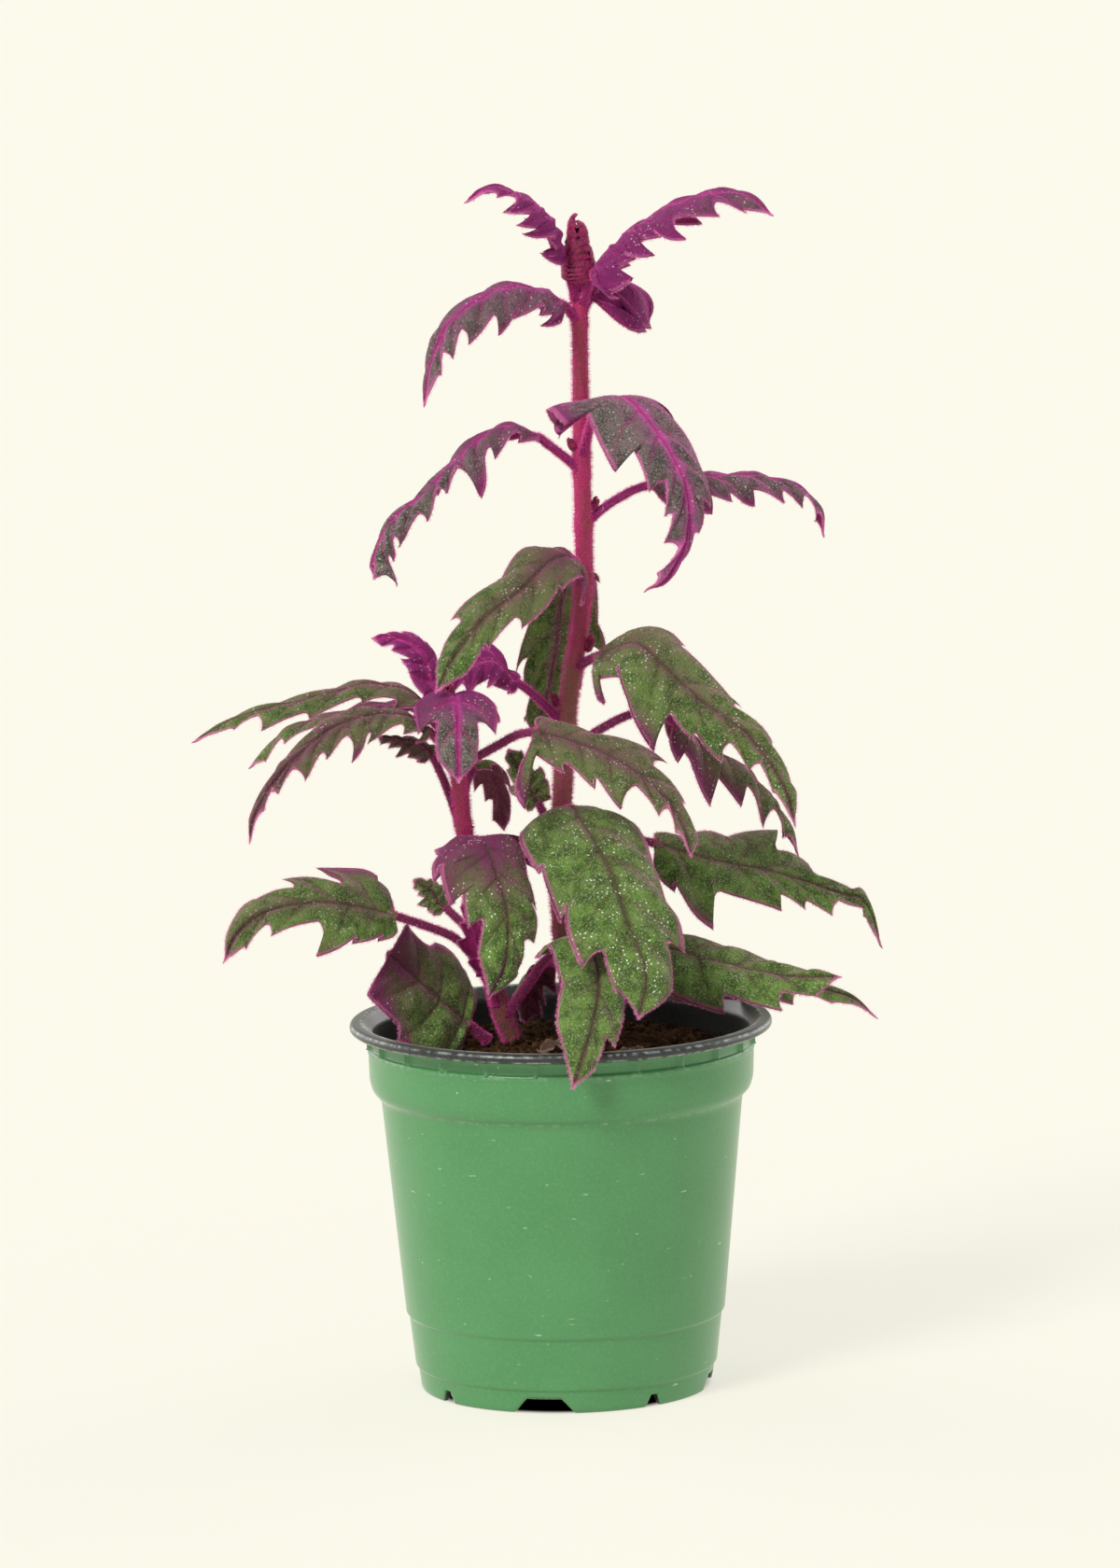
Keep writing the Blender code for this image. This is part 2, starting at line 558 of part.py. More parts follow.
def main():
    clear_scene()
    plant = new_collection("velvet_plant_in_pot")
    cutters = new_collection("cutters")
    axis = bpy.data.objects.new("pot_axis", None)
    axis.location = (*POT_AXIS, 0.0)
    plant.objects.link(axis)

    build_pot(plant, cutters, axis)
    build_soil(plant, axis)
    for name in STEMS:
        build_stem(name, plant, axis)
    for name, spec in LEAVES.items():
        build_leaf(name, spec, plant, axis)
    build_buds(plant, axis)
    dry_leaf("dry_leaf_01", [(-6, -22, 91.5), (0, -20, 92.5), (7, -21, 91.5)], 5, 30, plant, axis)
    dry_leaf("dry_leaf_02", [(12, -26, 91.0), (19, -25, 91.5), (26, -22, 91.0)], 4, 25, plant, axis)
    perlite = [((-0.026, -0.024), 0.0030), ((-0.022, -0.034), 0.0022), ((0.033, -0.024), 0.0022)]
    for index, (place, size) in enumerate(perlite):
        chip(f"perlite_{index + 1:02d}", place, size, 11 + index, plant, axis)


main()
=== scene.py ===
import bpy
import numpy as np
from math import cos, pi, radians, sin, sqrt
from mathutils import Matrix, Vector


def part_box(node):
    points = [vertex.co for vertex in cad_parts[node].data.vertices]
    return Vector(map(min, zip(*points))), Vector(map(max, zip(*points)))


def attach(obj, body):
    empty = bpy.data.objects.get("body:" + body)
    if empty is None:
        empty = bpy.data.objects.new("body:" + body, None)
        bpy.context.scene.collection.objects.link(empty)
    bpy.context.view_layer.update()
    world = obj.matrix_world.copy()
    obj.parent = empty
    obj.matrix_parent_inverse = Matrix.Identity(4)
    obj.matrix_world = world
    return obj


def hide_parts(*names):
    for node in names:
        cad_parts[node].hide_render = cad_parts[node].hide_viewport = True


# Purple velvet plant in a green nursery pot. Lengths are metres unless a name says mm.

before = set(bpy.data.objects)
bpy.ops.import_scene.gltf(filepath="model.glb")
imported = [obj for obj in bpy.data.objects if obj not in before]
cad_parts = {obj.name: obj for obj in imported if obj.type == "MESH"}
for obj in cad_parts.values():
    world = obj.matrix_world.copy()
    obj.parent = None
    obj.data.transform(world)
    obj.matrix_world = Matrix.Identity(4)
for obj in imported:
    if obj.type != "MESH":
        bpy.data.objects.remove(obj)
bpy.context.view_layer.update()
print("frame:", len(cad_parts), "solids")

mm = 0.001
potAxis = np.array([0.0035, 0.0025, 0.0])  # where the pot's axis stands


# Camera, light and floor

studio = {
    "aim": (0.0044, 0.0025, 0.1585),   # the point looked at
    "distance": 2.5,
    "elevation": 8.7,                  # degrees above the horizon
    "roll": 1.0,                       # degrees clockwise
    "lens": 221.25,                    # on a 36 mm sensor
    "cream": (0.965, 0.947, 0.838),    # backdrop colour
    "sunFrom": (-0.42, -0.62, 0.66),   # direction of the key light, from the object
    "sunStrength": 2.2,
    "sunAngle": 18,                    # degrees across: a large soft box
    "skyStrength": 0.58,
    "rimFrom": (0.80, 0.60, 0.16),     # the two side lights, this one and its mirror image
    "rimStrength": 1.4,
    "rimAngle": 60,
    "floorGlow": 0.72,                 # share of the floor's colour that takes no shadow
}


def makeCamera():
    # looks at the aim from the front, from distance and elevation, and then rolls
    made = bpy.data.cameras.new("camera")
    made.lens = studio["lens"]
    made.sensor_width = 36
    made.clip_end = 50
    camera = bpy.data.objects.new("camera", made)
    bpy.context.scene.collection.objects.link(camera)
    turn = radians(studio["elevation"])
    back = Vector((0, -cos(turn), sin(turn)))
    aimed = (-back).to_track_quat("-Z", "Y").to_matrix().to_4x4()
    rolled = aimed @ Matrix.Rotation(radians(-studio["roll"]), 4, "Z")
    camera.matrix_world = Matrix.Translation(Vector(studio["aim"]) + back * studio["distance"]) @ rolled
    bpy.context.scene.camera = camera


def makeLight():
    # the camera sees a cream backdrop, and all else is lit by a white sky and three suns
    world = bpy.data.worlds.new("sky")
    bpy.context.scene.world = world
    world.use_nodes = True
    tree = world.node_tree
    tree.nodes.clear()
    seen = tree.nodes.new("ShaderNodeBackground")
    seen.inputs["Color"].default_value = (*studio["cream"], 1)
    lit = tree.nodes.new("ShaderNodeBackground")
    lit.inputs["Color"].default_value = (1.0, 0.99, 0.96, 1)
    lit.inputs["Strength"].default_value = studio["skyStrength"]
    ray = tree.nodes.new("ShaderNodeLightPath")
    mix = tree.nodes.new("ShaderNodeMixShader")
    out = tree.nodes.new("ShaderNodeOutputWorld")
    tree.links.new(ray.outputs["Is Camera Ray"], mix.inputs["Fac"])
    tree.links.new(lit.outputs[0], mix.inputs[1])
    tree.links.new(seen.outputs[0], mix.inputs[2])
    tree.links.new(mix.outputs[0], out.inputs["Surface"])
    x, y, z = studio["rimFrom"]
    addLamp("softBox", studio["sunFrom"], studio["sunStrength"], studio["sunAngle"])
    addLamp("rimRight", (x, y, z), studio["rimStrength"], studio["rimAngle"])
    addLamp("rimLeft", (-x, y, z), studio["rimStrength"], studio["rimAngle"])


def addLamp(name, source, strength, spread):
    # a sun that shines from the direction source and is spread degrees across
    light = bpy.data.lights.new(name, "SUN")
    light.energy, light.angle, light.color = strength, radians(spread), (1.0, 0.985, 0.95)
    lamp = bpy.data.objects.new(name, light)
    lamp.rotation_mode = "QUATERNION"
    lamp.rotation_quaternion = Vector(source).to_track_quat("Z", "Y")
    bpy.context.scene.collection.objects.link(lamp)


# Finishes: sums on a Wire add Math nodes

class Wire:
    def __init__(self, tree, socket=None):
        self.tree, self.socket = tree, socket

    def node(self, kind, settings=None, inputs=None, output=0):
        made = self.tree.nodes.new(kind)
        for name, value in (settings or {}).items():
            if name == "stops":
                ramp = made.color_ramp
                while len(ramp.elements) < len(value):
                    ramp.elements.new(1)
                for stop, (place, shade) in zip(ramp.elements, value):
                    stop.position, stop.color = place, (*shade, 1)
            else:
                setattr(made, name, value)
        for name, value in (inputs or {}).items():
            target = made.inputs[name]
            if isinstance(value, Wire):
                self.tree.links.new(value.socket, target)
            else:
                target.default_value = value
        return Wire(self.tree, made.outputs[output])

    def sum(self, operation, *values):
        return self.node("ShaderNodeMath", {"operation": operation}, dict(enumerate(values)))

    def __add__(self, other): return self.sum("ADD", self, other)
    def __radd__(self, other): return self.sum("ADD", other, self)
    def __sub__(self, other): return self.sum("SUBTRACT", self, other)
    def __rsub__(self, other): return self.sum("SUBTRACT", other, self)
    def __mul__(self, other): return self.sum("MULTIPLY", self, other)
    def __rmul__(self, other): return self.sum("MULTIPLY", other, self)
    def __truediv__(self, other): return self.sum("DIVIDE", self, other)
    def __pow__(self, other): return self.sum("POWER", self, other)

    def between(self, low, high):  # 0 at low, 1 at high, smooth
        return self.node("ShaderNodeMapRange", {"interpolation_type": "SMOOTHSTEP"},
                         {"Value": self, "From Min": low, "From Max": high})

    def mix(self, first, second):  # first colour at 0, second at 1
        inputs = {0: self, 6: first if isinstance(first, Wire) else (*first, 1),
                  7: second if isinstance(second, Wire) else (*second, 1)}
        return self.node("ShaderNodeMix", {"data_type": "RGBA"}, inputs, 2)


def startFinish(name, constants):
    # A Principled finish; numbers that are the same all over go straight on its sockets
    made = bpy.data.materials.new(name)
    made.use_nodes = True
    shader = made.node_tree.nodes["Principled BSDF"]
    for socket, value in constants.items():
        shader.inputs[socket].default_value = value
    return made, shader, Wire(made.node_tree)


def place(wire):
    return wire.node("ShaderNodeTexCoord", output="Object")


def field(wire, name):
    return wire.node("ShaderNodeAttribute", {"attribute_name": name}, output="Fac")


def noise(wire, scale, detail=3, rough=0.55, stretch=None):
    spot = place(wire)
    if stretch:
        spot = wire.node("ShaderNodeMapping", inputs={"Vector": spot, "Scale": stretch})
    return wire.node("ShaderNodeTexNoise", inputs={"Vector": spot, "Scale": scale, "Detail": detail,
                                                   "Roughness": rough})


def cells(wire, scale, feature="F1"):
    return wire.node("ShaderNodeTexVoronoi", {"feature": feature},
                     {"Vector": place(wire), "Scale": scale}, "Distance")


def finishWith(wire, shader, colour=None, roughness=None, height=None, depth=0.0005, strength=1.0):
    links = wire.tree.links
    if colour is not None:
        links.new(colour.socket, shader.inputs["Base Color"])
    if roughness is not None:
        links.new(roughness.socket, shader.inputs["Roughness"])
    if height is not None:
        bump = wire.node("ShaderNodeBump", inputs={"Height": height, "Distance": depth,
                                                   "Strength": strength})
        links.new(bump.socket, shader.inputs["Normal"])


leafLook = {
    # haze is the colour of a painted sheen: the magenta that the hairs show in grazing light
    "old": {"darkGreen": (0.042, 0.088, 0.012), "green": (0.120, 0.235, 0.036),
            "paleGreen": (0.36, 0.48, 0.22), "purple": (0.17, 0.030, 0.095),
            "haze": (0.40, 0.11, 0.25), "under": (0.20, 0.035, 0.09), "veinDark": (0.065, 0.045, 0.022),
            "sheen": 0.32, "tint": (1.0, 0.22, 0.62, 1)},
    "young": {"darkGreen": (0.050, 0.048, 0.040), "green": (0.135, 0.132, 0.100),
              "paleGreen": (0.42, 0.40, 0.36), "purple": (0.21, 0.018, 0.130), "haze": (0.56, 0.080, 0.38),
              "under": (0.26, 0.012, 0.11), "veinDark": (0.36, 0.010, 0.15),
              "sheen": 0.85, "tint": (1.0, 0.16, 0.66, 1)},
    "edge": (0.78, 0.22, 0.46),
    "speck": (0.80, 0.86, 0.76),
    "constants": {"Roughness": 0.72, "Sheen Roughness": 0.22, "Specular IOR Level": 0.22},
}


def leafFinish(name, age):
    look = leafLook[age]
    made, shader, wire = startFinish(name, {
        **leafLook["constants"], "Sheen Weight": look["sheen"], "Sheen Tint": look["tint"]})
    blush, vein, edge, under = (field(wire, f) for f in ("blush", "vein", "edge", "under"))
    mottle = noise(wire, 260, 4, 0.6)
    fine = noise(wire, 2100, 3, 0.65)
    hairs = cells(wire, 2600)
    green = mottle.between(0.36, 0.66).mix(look["darkGreen"], look["green"])
    # fine pale flecks: the pale hairs, and partly painted glints of light on them
    green = (fine.between(0.50, 0.64) * 0.6).mix(green, look["paleGreen"])
    haze = (blush + (mottle - 0.5) * 0.7 + (fine - 0.5) * 0.9).between(0.20, 0.85)
    colour = haze.mix(green, look["purple"])
    # painted sheen: the haze colour is painted along the midrib and the margins, where hairs would catch
    # grazing light
    paintedSheenMix = field(wire, "ridge") * (fine * 0.9 + mottle * 0.6 - 0.05)
    colour = paintedSheenMix.between(0.10, 1.0).mix(colour, look["haze"])
    colour = (vein * 0.8).mix(colour, look["veinDark"])
    colour = (under * 0.85).mix(colour, look["under"])
    speckle = (1 - cells(wire, 900).between(0.10, 0.26)) * noise(wire, 130, 1).between(0.46, 0.60)
    colour = (speckle * (1 - under) * field(wire, "specks")).mix(colour, leafLook["speck"])
    colour = (edge * 0.85).mix(colour, leafLook["edge"])
    height = mottle * 1.1 + fine * 0.35 + hairs * 0.3 - vein * 0.9
    finishWith(wire, shader, colour, 0.55 + fine * 0.25, height, 0.0008)
    return made


def hairFinish():
    made, shader, wire = startFinish("velvetHair", {
        "Roughness": 0.55, "Sheen Weight": 0.15, "Sheen Tint": (1, 0.3, 0.6, 1)})
    tone = field(wire, "tone") + (noise(wire, 300) - 0.5) * 0.4
    colour = tone.node("ShaderNodeValToRGB", {"stops": [
        (0.0, (0.66, 0.008, 0.220)), (0.45, (0.92, 0.080, 0.430)), (1.0, (0.96, 0.50, 0.70))]},
        {"Fac": tone})
    finishWith(wire, shader, colour)
    return made


def stemFinish():
    made, shader, wire = startFinish("stemVelvet", {
        "Roughness": 0.6, "Sheen Weight": 1.0, "Sheen Roughness": 0.24,
        "Sheen Tint": (1.0, 0.05, 0.42, 1)})
    green, streak = field(wire, "blush"), noise(wire, 500, 3, 0.6, (1, 1, 0.12))
    core = streak.between(0.35, 0.7).mix((0.25, 0.026, 0.045), (0.43, 0.010, 0.130))
    core = green.mix(core, (0.15, 0.135, 0.035))
    colour = (noise(wire, 900, 2).between(0.5, 0.75) * 0.6).mix(core, (0.48, 0.020, 0.14))
    finishWith(wire, shader, colour, None, streak + cells(wire, 1800) * 0.4, 0.0004, 0.8)
    return made


def budFinish():
    made, shader, wire = startFinish("budVelvet", {
        "Roughness": 0.55, "Sheen Weight": 0.4, "Sheen Tint": (1, 0.1, 0.4, 1)})
    spots = noise(wire, 900, 3, 0.65)
    colour = spots.between(0.35, 0.7).mix((0.08, 0.001, 0.018), (0.33, 0.002, 0.080))
    # painted highlights: bright crimson flecks over the darker spots
    colour = (noise(wire, 2300, 2).between(0.58, 0.78) * 0.6).mix(colour, (0.62, 0.030, 0.17))
    finishWith(wire, shader, colour, None, spots + cells(wire, 2400) * 0.5, 0.0004, 0.9)
    return made


def potFinish():
    # Green outside; the rolled lip and the inside are dark. "lining" is 1 on those.
    made, shader, wire = startFinish("potPlastic", {
        "Specular IOR Level": 0.5, "Coat Weight": 0.2, "Coat Roughness": 0.22,
        "Sheen Weight": 0.5, "Sheen Roughness": 0.22,
        "Sheen Tint": (0.95, 1.0, 0.82, 1)})
    dark, wear = field(wire, "lining"), field(wire, "wear")
    cloud = noise(wire, 45, 3, 0.5)
    grain = noise(wire, 1400, 3, 0.6)
    green = cloud.between(0.3, 0.7).mix((0.062, 0.236, 0.078), (0.070, 0.258, 0.088))
    green = (grain.between(0.42, 0.72) * 0.30).mix(green, (0.12, 0.34, 0.14))
    slate = grain.between(0.3, 0.7).mix((0.008, 0.010, 0.010), (0.022, 0.028, 0.027))
    colour = dark.mix(green, slate)
    dust = (1 - cells(wire, 260).between(0.035, 0.075)) * noise(wire, 90, 2).between(0.54, 0.66)
    scratch = noise(wire, 240, 2, 0.5, (1, 1, 4)).between(0.735, 0.76)
    colour = ((dust * 0.75 + scratch * 0.45) * (1 - dark)).mix(colour, (0.62, 0.76, 0.62))
    # painted highlights: pale dashes along the lip's edges and the collar's ledges stand for glints of
    # light, broken up by noise
    glintDashes = wear * noise(wire, 520, 2, 0.5).between(0.40, 0.66) * 0.8
    colour = glintDashes.mix(colour, (0.66, 0.72, 0.66))
    rough = 0.36 + (grain - 0.5) * 0.16 + dust * 0.2
    finishWith(wire, shader, colour, rough, grain + dust * 0.5, 0.00012, 0.5)
    return made


def soilFinish():
    made, shader, wire = startFinish("compostEarth", {"Roughness": 0.95, "Specular IOR Level": 0.15})
    crumb, fleck = noise(wire, 420, 5, 0.7), noise(wire, 1100, 3, 0.6)
    colour = crumb.node("ShaderNodeValToRGB", {"stops": [
        (0.30, (0.010, 0.006, 0.003)), (0.50, (0.050, 0.024, 0.009)), (0.66, (0.14, 0.065, 0.020)),
        (0.80, (0.28, 0.15, 0.055))]}, {"Fac": crumb})
    colour = (fleck.between(0.62, 0.75) * 0.6).mix(colour, (0.30, 0.17, 0.075))
    finishWith(wire, shader, colour, None, crumb + fleck * 0.6, 0.0012)
    return made


def dryFinish():
    made, shader, wire = startFinish("dryLeaf", {"Roughness": 0.8, "Sheen Weight": 0.2})
    vein, edge = field(wire, "vein"), field(wire, "edge")
    crinkle = noise(wire, 380, 4, 0.65)
    colour = crinkle.between(0.3, 0.7).mix((0.050, 0.028, 0.014), (0.16, 0.075, 0.045))
    colour = (vein * 0.6).mix(colour, (0.22, 0.14, 0.07))
    colour = (edge * 0.7).mix(colour, (0.42, 0.20, 0.07))
    finishWith(wire, shader, colour, None, crinkle - vein * 0.5, 0.0008)
    return made


def perliteFinish():
    made, shader, wire = startFinish("perliteLump", {"Roughness": 0.9})
    pits = cells(wire, 1500)
    colour = pits.between(0.0, 0.5).mix((0.42, 0.36, 0.27), (0.90, 0.88, 0.82))
    finishWith(wire, shader, colour, None, pits)
    return made


def floorFinish():
    # Cream that shows only part of its shadow, as a bright sweep of paper does
    made = bpy.data.materials.new("paperSweep")
    made.use_nodes = True
    tree = made.node_tree
    tree.nodes.clear()
    wire = Wire(tree)
    suns = ((studio["sunFrom"], studio["sunStrength"]), (studio["rimFrom"], 2 * studio["rimStrength"]))
    shine = studio["skyStrength"] + sum(Vector(a).normalized().z * b / pi for a, b in suns)
    glow, cream = studio["floorGlow"], studio["cream"]
    # painted shadow: under the pot the sweep neither glows nor reflects, a dark disc seen through the foot's
    # notches
    away = wire.node("ShaderNodeVectorMath", {"operation": "DISTANCE"},
                     {0: place(wire), 1: (potAxis[0], potAxis[1], 0)}, "Value").between(0.034, 0.0385)
    lit = wire.node("ShaderNodeBsdfDiffuse", inputs={
        "Color": away.mix((0.002, 0.002, 0.002), tuple(c * (1 - glow) / shine for c in cream))})
    own = wire.node("ShaderNodeEmission", inputs={"Color": (*cream, 1), "Strength": away * glow})
    both = wire.node("ShaderNodeAddShader", inputs={0: lit, 1: own})
    out = tree.nodes.new("ShaderNodeOutputMaterial")
    tree.links.new(both.socket, out.inputs["Surface"])
    return made


finishes = {
    "leaf": leafFinish("leafVelvet", "old"), "young": leafFinish("youngLeafVelvet", "young"),
    "hair": hairFinish(), "stem": stemFinish(), "bud": budFinish(), "pot": potFinish(),
    "soil": soilFinish(), "dry": dryFinish(), "perlite": perliteFinish(), "floor": floorFinish(),
}
print("finishes:", len(finishes))


# Meshes from whole arrays

def gridQuads(rows, columns, closed=True, start=0):
    # the quads of a grid of points; closed joins its last column to its first
    r = np.arange(rows - 1)[:, None] * columns
    c = np.arange(columns if closed else columns - 1)[None, :]
    n = (c + 1) % columns
    return np.stack([r + c, r + n, r + columns + n, r + columns + c], -1).reshape(-1, 4) + start


def makePiece(name, parts, finishNames, fields=()):
    # parts are (points, face arrays, finish number, {field: value per point}), set one after another
    points, loops, sizes, numbers, start = [], [], [], [], 0
    values = {f: [] for f in fields}
    for spots, faceSets, number, given in parts:
        spots = spots.reshape(-1, 3)
        points.append(spots)
        for faces in faceSets:
            loops.append(faces.ravel() + start)
            sizes.append(np.full(len(faces), faces.shape[1]))
            numbers.append(np.full(len(faces), number))
        for f in fields:
            values[f].append(np.broadcast_to(np.asarray(given.get(f, 0.0), float).ravel(), len(spots)))
        start += len(spots)
    points, loops, sizes, numbers = (np.concatenate(a) for a in (points, loops, sizes, numbers))
    mesh = bpy.data.meshes.new(name)
    mesh.vertices.add(len(points))
    mesh.vertices.foreach_set("co", (points + potAxis).astype(np.float32).ravel())
    mesh.loops.add(len(loops))
    mesh.loops.foreach_set("vertex_index", loops.astype(np.int32))
    mesh.polygons.add(len(sizes))
    mesh.polygons.foreach_set("loop_start", np.r_[0, np.cumsum(sizes)[:-1]].astype(np.int32))
    mesh.polygons.foreach_set("material_index", numbers.astype(np.int32))
    mesh.polygons.foreach_set("use_smooth", np.ones(len(sizes), bool))
    mesh.update(calc_edges=True)
    mesh.validate()
    for f in fields:
        layer = mesh.attributes.new(f, "FLOAT", "POINT")
        layer.data.foreach_set("value", np.concatenate(values[f]).astype(np.float32))
    for finish in finishNames:
        mesh.materials.append(finishes[finish])
    piece = bpy.data.objects.new(name, mesh)
    bpy.context.scene.collection.objects.link(piece)
    return piece


def capped(rows, columns):
    # a closed grid's quads with its two end rings filled
    ends = np.arange(columns)
    return [gridQuads(rows, columns), ends[::-1][None], (ends + (rows - 1) * columns)[None]]


def unit(a):
    # each vector over its own length
    return a / np.maximum(np.linalg.norm(a, axis=-1, keepdims=True), 1e-12)


def smoothRoute(points, count):
    # even steps along a Catmull-Rom curve through the points
    p = np.array(points, float)
    ends = np.vstack([2 * p[0] - p[1], p, 2 * p[-1] - p[-2]])
    t = np.linspace(0, 1, 24, endpoint=False)[None, :, None]
    a, b, c, d = (ends[k:len(ends) - 3 + k, None] for k in range(4))
    spans = 0.5 * (2 * b + (c - a) * t + (2 * a - 5 * b + 4 * c - d) * t**2
                   + (3 * b - a - 3 * c + d) * t**3)
    dense = np.vstack([spans.reshape(-1, 3), p[-1:]])
    walked = np.r_[0, np.cumsum(np.linalg.norm(np.diff(dense, axis=0), axis=1))]
    return atShare(dense, np.linspace(0, 1, count), walked / walked[-1])


def atShare(values, shares, whole=None):
    # rows of values read off at shares of the way along
    whole = np.linspace(0, 1, len(values)) if whole is None else whole
    return np.stack([np.interp(shares, whole, values[:, k]) for k in range(3)], axis=1)


def framesAlong(route):
    # heading, side and upper normal, carried along without twisting; the side starts level
    heading = unit(np.gradient(route, axis=0))
    side = unit(np.array([-heading[0, 1], heading[0, 0], 0.0]))
    sides = []
    for ahead in heading:
        side = unit(side - ahead * side.dot(ahead))
        sides.append(side)
    sides = np.array(sides)
    return heading, sides, np.cross(heading, sides)


def aroundRoute(across, upward, sides, ups):
    # across × side + upward × up, for every place on every ring
    return across[..., None] * sides[:, None] + upward[..., None] * ups[:, None]


def gridNormals(grid):
    # outward normal of a closed grid: step round the ring crossed with the step along it
    along = np.gradient(grid, axis=0)
    around = np.roll(grid, -1, axis=1) - np.roll(grid, 1, axis=1)
    return unit(np.cross(around, along))


def lump(seed, spread=0.25):
    # a twenty-faced lump, each corner pushed in or out at random
    g = (1 + sqrt(5)) / 2
    corners = np.array([(-1, g, 0), (1, g, 0), (-1, -g, 0), (1, -g, 0), (0, -1, g), (0, 1, g), (0, -1, -g),
                        (0, 1, -g), (g, 0, -1), (g, 0, 1), (-g, 0, -1), (-g, 0, 1)])
    faces = np.array([(0, 11, 5), (0, 5, 1), (0, 1, 7), (0, 7, 10), (0, 10, 11), (1, 5, 9), (5, 11, 4),
                      (11, 10, 2), (10, 7, 6), (7, 1, 8), (3, 9, 4), (3, 4, 2), (3, 2, 6), (3, 6, 8),
                      (3, 8, 9), (4, 9, 5), (2, 4, 11), (6, 2, 10), (8, 6, 7), (9, 8, 1)])
    rng = np.random.default_rng(seed)
    return unit(corners) * (1 + rng.uniform(-spread, spread, (12, 1))), faces


# Velvet hairs

def needles(roots, headings, lengths, thickness, tone):
    # a hair is a three-sided needle: three points round its root, and one at root + heading × length
    headings = unit(headings)
    across = unit(np.cross(headings, (0.31, 0.52, 0.79)))
    other = np.cross(headings, across)
    turn = np.arange(3) * 2 * pi / 3
    foot = (roots - headings * (0.15 * lengths)[:, None])[:, None]
    ring = foot + thickness * (np.cos(turn)[None, :, None] * across[:, None]
                               + np.sin(turn)[None, :, None] * other[:, None])
    tips = roots + headings * lengths[:, None]
    points = np.concatenate([ring, tips[:, None]], axis=1)
    faces = np.arange(len(roots))[:, None, None] * 4 + np.array([(0, 1, 3), (1, 2, 3), (2, 0, 3), (0, 2, 1)])
    tones = np.repeat(np.broadcast_to(tone, len(roots)), 4)
    return points, [faces.reshape(-1, 3)], 1, {"tone": tones}


velvet = {
    "stem": dict(perSquareMm=8, lengthMm=1.15, tone=0.40, lean=0.05),
    "stalk": dict(perSquareMm=11, lengthMm=0.75, tone=0.45, lean=0.1),
    "blade": dict(perSquareMm=1.6, lengthMm=0.42, lean=0.6),
    "bud": dict(perSquareMm=7, lengthMm=0.5, tone=0.3, lean=0.5),
}
hairMm = 0.055    # half the thickness of a hair's root
fringe = {"perMm": 9, "lengthMm": (0.2975, 0.8075), "thickMm": 0.045}  # hairs along a leaf's margins


def hairsOver(grid, rng, perSquareMm, lengthMm, lean, tone, weight=None):
    # hairs at random places on a grid, each cell having its share by area, leaning along the grid
    normals = gridNormals(grid)
    ahead = unit(np.gradient(grid, axis=0))
    after = np.roll(grid, -1, axis=1)
    area = np.linalg.norm(np.cross(after - grid, np.gradient(grid, axis=0)), axis=-1)
    area[-1] = 0
    if weight is not None:
        area = area * weight
    count = int(area.sum() / mm**2 * perSquareMm)
    if count < 3:
        return None
    rows, columns = np.unravel_index(
        np.searchsorted(np.cumsum(area) / area.sum(), rng.random(count)).clip(0, area.size - 1), area.shape)
    s, t = rng.random((2, count, 1))
    below = np.minimum(rows + 1, len(grid) - 1)
    near = grid[rows, columns] * (1 - s) + grid[below, columns] * s
    far = after[rows, columns] * (1 - s) + after[below, columns] * s
    roots = near * (1 - t) + far * t
    headings = normals[rows, columns] + lean * ahead[rows, columns] + rng.normal(0, 0.22, (count, 3))
    tone = tone if np.isscalar(tone) else tone[rows, columns]
    return needles(roots, headings, rng.uniform(0.55, 1.1, count) * lengthMm * mm, hairMm * mm, tone)


# Stems

stems = {
    "mainStem": {
        "node": "main_stem", "radii": (2.7, 1.9), "seed": 11,
        "route": [(4, 6, 91), (2, 6, 111), (0, 6, 133), (1, 6, 148), (3, 5, 175), (6, 4, 195),
                  (8, 3, 212), (8, 1, 241), (8, 0, 261), (8, 0, 288)],
        "olive": [(91, 0.9), (150, 0.5), (175, 0.75), (185, 0.7), (195, 0.1), (290, 0.0)],
    },
    "sideStem": {
        "node": "side_stem", "radii": (2.3, 1.8), "seed": 12,
        "route": [(-13, 4, 91), (-16, 1, 101), (-19, -3, 113), (-22, -6, 124), (-23, -9, 136),
                  (-24, -12, 149), (-26, -16, 171), (-27, -18, 181)],
        "olive": [(91, 1.0), (104, 0.85), (112, 0.1), (181, 0.0)],
    },
}
stemOf = {spec["node"]: spec for spec in stems.values()}


def stemRoute(node, count=200):
    # the smooth middle line, in metres
    return smoothRoute(stemOf[node]["route"], count) * mm


def stemPoint(node, height):
    # where the middle line passes a height
    route = stemRoute(node)
    return np.array([np.interp(height, route[:, 2], route[:, k]) for k in range(3)])


def stemRadius(node, height):
    # from the foot's radius to the top's, in proportion to height
    route = stemRoute(node)
    foot, top = stemOf[node]["radii"]
    return float(np.interp(height, (route[0, 2], route[-1, 2]), (foot * mm, top * mm)))


def stemGrid(spec, rows=260, columns=20):
    # a ring of radius r at each step; r tapers, swells a little where leaves join, and is ribbed
    route = smoothRoute(spec["route"], rows) * mm
    _, sides, ups = framesAlong(route)
    turn = np.arange(columns) * 2 * pi / columns
    taper = np.linspace(spec["radii"][0], spec["radii"][1], rows) * mm
    joints = [leaf["at"] * mm for leaf in leaves.values() if leaf["stem"] == spec["node"]]
    swell = sum(np.exp(-((route[:, 2] - z + 0.0012) / 0.0022) ** 2) for z in joints)
    ribs = 1 + 0.035 * np.cos(5 * turn[None] + 18 * np.linspace(0, 1, rows)[:, None])
    closing = np.sqrt(np.clip(1 - np.linspace(0, 1, rows)[:, None] ** 60, 0.02, 1))
    radius = (taper * (1 + 0.12 * np.minimum(swell, 1)))[:, None] * ribs * closing
    return route[:, None] + aroundRoute(radius * np.cos(turn), radius * np.sin(turn), sides, ups)
